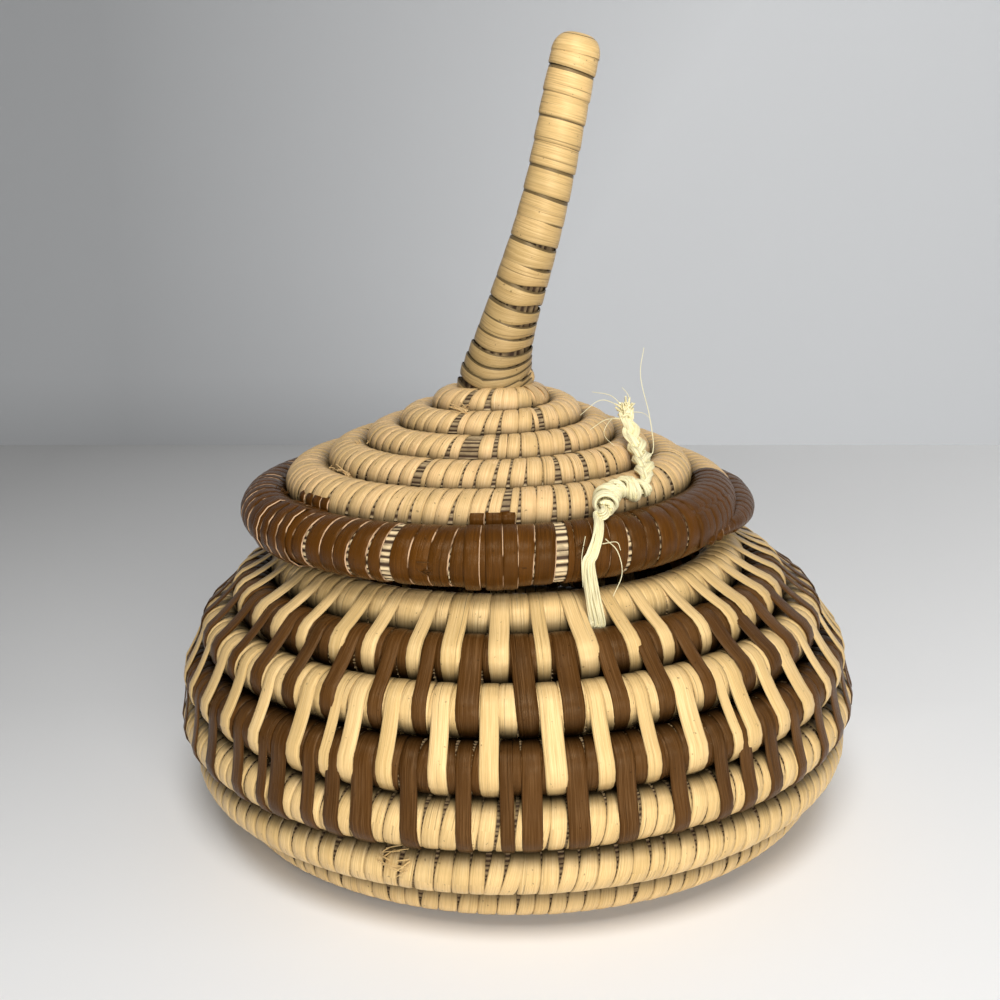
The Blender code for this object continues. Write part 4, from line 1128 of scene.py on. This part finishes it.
def lid_rim_strips(strips, rng):
    """The brown wraps of the splice and the thick rim."""
    at, widths = cells(LID, RIM_FROM, LID_RINGS + LID_END_TURNS, strips.rim_width, 0.16, rng)
    widths = widths * rng.uniform(0.95, 1.02, len(at))
    at, widths = opened(LID, at, widths, spread_openings(RIM_OPENINGS))
    plain = wraps(LID, at, widths, 0.04 * MM, strips.thickness, rng, stations=24, slant=0.7 * MM, open_side=-1)
    ends = np.array(END_STITCHES)
    over_end = long_stitches(LID, END_KNOTS, ends, np.full(len(ends), 3.7 * MM), 0.3 * MM, strips.thickness,
                             0.6 * MM, rng, -1)
    reaching, reach_widths = np.array(REACHING_WRAPS).T
    reach = long_stitches(LID, REACH_KNOTS, reaching, reach_widths * MM, 0.3 * MM, strips.thickness, 0.3 * MM,
                          rng, -1)
    piece = joined([plain, over_end, reach])
    obj = put_mesh("brown_strips_lid_rim", piece, look("rim leaf"))
    place(obj, "lid", "brown_strip", "brown_binding_lid_rim", "brown_binding_lid_splice")


# Torn places: turn count, angle, number, length in millimetres and the side to which they point
LID_FRAYS = ((1.07, 20, 12, 3.6, 1), (1.09, 60, 8, 3.0, -1), (4.15, 60, 12, 4.0, 1), (4.2, 70, 8, 3.2, -1),
             (3.86, 30, 8, 2.6, -1), (3.2, 40, 6, 2.6, 1))
RIM_FRAYS = ((5.2, 60, 8, 3.2, 1), (4.95, -40, 6, 2.0, 1), (5.04, -70, 5, 3.0, -1))


def make_stage():
    """Pale floor and grey wall whose colours hold painted light: both lighter to the right, the floor darker towards
    the back, the wall lighter low down with painted shade along its foot; two soft lamps, an even sky and the camera.
    """
    stage = bpy.context.scene.basket_stage
    far = stage.wall_distance
    for name, colour, corners in (
            ("floor", stage.floor, [(-3, -3, 0), (3, -3, 0), (3, far, 0), (-3, far, 0)]),
            ("wall", stage.wall, [(-3, far, 0), (3, far, 0), (3, far, 3), (-3, far, 3)])):
        mesh = bpy.data.meshes.new(name)
        mesh.from_pydata(corners, [], [(0, 1, 2, 3)])
        t = Tree(name)
        parts = t.add("ShaderNodeSeparateXYZ", vector=t.object_point())
        x, y, z = parts.outputs
        if name == "floor":
            # Painted light: the floor darker from just before the basket towards the back, and brighter to the right
            painted_light = t.ramp(y, -0.075, 0.05, 0.98, 0.80)
            painted_light = t.math("MULTIPLY", painted_light, t.ramp(y, 0.05, 0.38, 1.0, 0.88))
            painted_light = t.math("MULTIPLY", painted_light, t.ramp(x, -0.25, 0.25, 0.74, 1.40))
        else:
            # Painted light: the wall brighter to the right and low down, with painted shade in a thin band at its foot
            painted_light = t.ramp(x, -0.22, 0.22, 0.50, 1.08)
            painted_light = t.math("MULTIPLY", painted_light, t.ramp(z, 0.03, 0.36, 1.28, 0.92))
            painted_light = t.math("MULTIPLY", painted_light, t.ramp(z, 0.0, 0.04, 0.86, 1.0))
        t.set(t.shader, "Base Color", t.mix(painted_light, (0.0, 0.0, 0.0), tuple(colour)))
        t.shader.inputs["Roughness"].default_value = 0.9
        mesh.materials.append(t.material)
        obj = bpy.data.objects.new(name, mesh)
        bpy.context.scene.collection.objects.link(obj)
    lamp("key lamp", (0.0, -0.50, 0.72), 0.38, stage.key)
    lamp("front lamp", (0.24, -0.93, 0.30), 0.5, stage.front)
    sky = bpy.data.worlds.new("even sky")
    sky.use_nodes = True
    sky.node_tree.nodes["Background"].inputs[0].default_value = (0.95, 0.97, 1.0, 1.0)
    sky.node_tree.nodes["Background"].inputs[1].default_value = stage.sky
    bpy.context.scene.world = sky
    bpy.context.scene.view_settings.view_transform = "Standard"
    make_camera()


def lamp(name, spot, size, watts):
    """A round lamp that faces the basket's middle."""
    data = bpy.data.lights.new(name, "AREA")
    data.shape = "DISK"
    data.size = size
    data.energy = watts
    obj = bpy.data.objects.new(name, data)
    obj.location = spot
    obj.rotation_euler = (Vector((0, 0, 0.06)) - Vector(spot)).to_track_quat("-Z", "Y").to_euler()
    bpy.context.scene.collection.objects.link(obj)


def make_camera():
    """The photograph's camera, with the shift that its crop needs."""
    data = bpy.data.cameras.new("camera")
    data.sensor_width = SENSOR_MM
    data.lens = SENSOR_MM * FOCAL_PIXELS / FRAME_PIXELS
    data.shift_x = (FRAME_PIXELS / 2 - CENTRE_PIXEL[0]) / FRAME_PIXELS
    data.shift_y = (CENTRE_PIXEL[1] - FRAME_PIXELS / 2) / FRAME_PIXELS
    data.clip_start = 0.01
    obj = bpy.data.objects.new("camera", data)
    obj.location = (0.0, -CAMERA_DISTANCE * math.cos(CAMERA_ELEVATION),
                    CAMERA_TARGET_HEIGHT + CAMERA_DISTANCE * math.sin(CAMERA_ELEVATION))
    obj.rotation_euler = (math.pi / 2 - CAMERA_ELEVATION, 0.0, 0.0)
    bpy.context.scene.collection.objects.link(obj)
    bpy.context.scene.camera = obj


class BASKET_OT_stage(bpy.types.Operator):
    """Make the floor, the wall, the lamps and the camera"""

    bl_idname = "basket.stage"
    bl_label = "Stage"

    def execute(self, context):
        make_stage()
        return {"FINISHED"}


class BASKET_OT_tie(bpy.types.Operator):
    """Make the fibre tie, its knot, its frayed end and its loose hairs"""

    bl_idname = "basket.tie"
    bl_label = "Fibre tie"

    def execute(self, context):
        rng = np.random.default_rng(context.scene.basket_strips.seed + 3)
        threads, line = tie_threads(rng)
        tie = put_mesh("tie_threads", threads, look("fibre"))
        knot = put_mesh("tie_knot_loops", knot_loops(rng), look("fibre"))
        tuft = put_mesh("tie_tuft_hairs", tuft_hairs(rng), look("fibre"))
        hairs = put_mesh("tie_loose_hairs", hair_tubes(LOOSE_HAIRS, 0.1 * MM, rng, 18), look("fibre"))
        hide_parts("tie_loop", "tie_strand", "tie_plait")
        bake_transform(tie)
        place(knot, "lid", "tie_fibre", "tie_knot")
        place(tuft, "lid", "tie_fibre", "tie_tuft")
        place(hairs, "lid", "tie_fibre")
        return {"FINISHED"}


class BASKET_OT_bundles(bpy.types.Operator):
    """Make the two grass bundles under the strips"""

    bl_idname = "basket.bundles"
    bl_label = "Grass bundles"

    def execute(self, context):
        # The body's bundle sits near the dark tone: partly the grass's own colour, partly painted shade for the deep
        # grooves between rows
        body = ribbed_bundle("body_grass_bundle", BODY, 0.0, COIL_TURNS - 0.001, 1150, 30,
                             ((0, COIL_TURNS), (0.12, 0.12)), look("grass"))
        place(body, "basket", "grass_bundle", "body_coil")
        lid = ribbed_bundle("lid_grass_bundle", LID, -LID_START_TURNS, LID_RINGS + LID_END_TURNS, 620, 23,
                            ((0, 4.3, 4.6, 6), (0.42, 0.42, 1.0, 1.0)), look("grass"))
        place(lid, "lid", "grass_bundle", "lid_coil")
        return {"FINISHED"}


class BASKET_OT_body_strips(bpy.types.Operator):
    """Bind the body's rows with long stitches and plain wraps"""

    bl_idname = "basket.body_strips"
    bl_label = "Body strips"

    def execute(self, context):
        strips = context.scene.basket_strips
        rng = np.random.default_rng(strips.seed)
        azimuths = top_azimuths(strips.long_stitches, rng)
        for row in ROW_COLOURS:
            patterned_row(row, azimuths, strips, rng)
            azimuths = next_azimuths(azimuths, rng)
        plain_rows(strips, rng)
        torn = frays(BODY, ((FRONT_TURN + 0.945, 60, 10, 4.4, 1), (FRONT_TURN + 0.955, 35, 7, 4.0, -1)), rng)
        place(put_mesh("body_torn_fibres", torn, look("natural leaf")), "basket", "natural_strip")
        return {"FINISHED"}


class BASKET_OT_lid_strips(bpy.types.Operator):
    """Bind the lid's rings and rim"""

    bl_idname = "basket.lid_strips"
    bl_label = "Lid strips"

    def execute(self, context):
        strips = context.scene.basket_strips
        rng = np.random.default_rng(strips.seed + 1)
        lid_ring_strips(strips, rng)
        lid_rim_strips(strips, rng)
        place(put_mesh("lid_torn_fibres", frays(LID, LID_FRAYS, rng), look("lid leaf")), "lid", "natural_strip")
        place(put_mesh("rim_torn_fibres", frays(LID, RIM_FRAYS, rng), look("brown leaf")), "lid", "brown_strip")
        return {"FINISHED"}


class BASKET_OT_handle(bpy.types.Operator):
    """Make the handle's bundle, its wraps and its rounded end"""

    bl_idname = "basket.handle"
    bl_label = "Handle"

    def execute(self, context):
        rng = np.random.default_rng(context.scene.basket_strips.seed + 2)
        core = ribbed_bundle("handle_bundle", HANDLE_CORE, -0.03, 0.965, 60, 18, ((0, 1), (0.1, 0.1)), look("grass"))
        place(core, "lid", "handle_stick", "handle_core")
        wound = put_mesh("handle_strips", joined([handle_wraps(rng), handle_cap()]), look("handle leaf"))
        place(wound, "lid", "natural_strip", "handle_wrap", "handle_foot_strip")
        return {"FINISHED"}


class BASKET_PT_panel(bpy.types.Panel):
    """Sizes, colours and pieces of the basket"""

    bl_label = "Coiled basket"
    bl_idname = "BASKET_PT_panel"
    bl_space_type = "VIEW_3D"
    bl_region_type = "UI"
    bl_category = "Basket"

    def draw(self, context):
        for group in (context.scene.basket_strips, context.scene.basket_colours, context.scene.basket_stage):
            for key in group.bl_rna.properties.keys():
                if key not in ("rna_type", "name"):
                    self.layout.prop(group, key)
        for operator in OPERATORS:
            self.layout.operator(operator.bl_idname)


OPERATORS = (BASKET_OT_stage, BASKET_OT_tie, BASKET_OT_bundles, BASKET_OT_body_strips, BASKET_OT_lid_strips,
             BASKET_OT_handle)
CLASSES = (BasketStrips, BasketColours, BasketStage, *OPERATORS, BASKET_PT_panel)


def register():
    for cls in CLASSES:
        bpy.utils.register_class(cls)
    bpy.types.Scene.basket_strips = PointerProperty(type=BasketStrips)
    bpy.types.Scene.basket_colours = PointerProperty(type=BasketColours)
    bpy.types.Scene.basket_stage = PointerProperty(type=BasketStage)


def unregister():
    del bpy.types.Scene.basket_strips, bpy.types.Scene.basket_colours, bpy.types.Scene.basket_stage
    for cls in reversed(CLASSES):
        bpy.utils.unregister_class(cls)


def main():
    register()
    bpy.ops.basket.stage()
    bpy.ops.basket.tie()
    bpy.ops.basket.bundles()
    bpy.ops.basket.body_strips()
    bpy.ops.basket.lid_strips()
    bpy.ops.basket.handle()


if __name__ == "__main__":
    main()
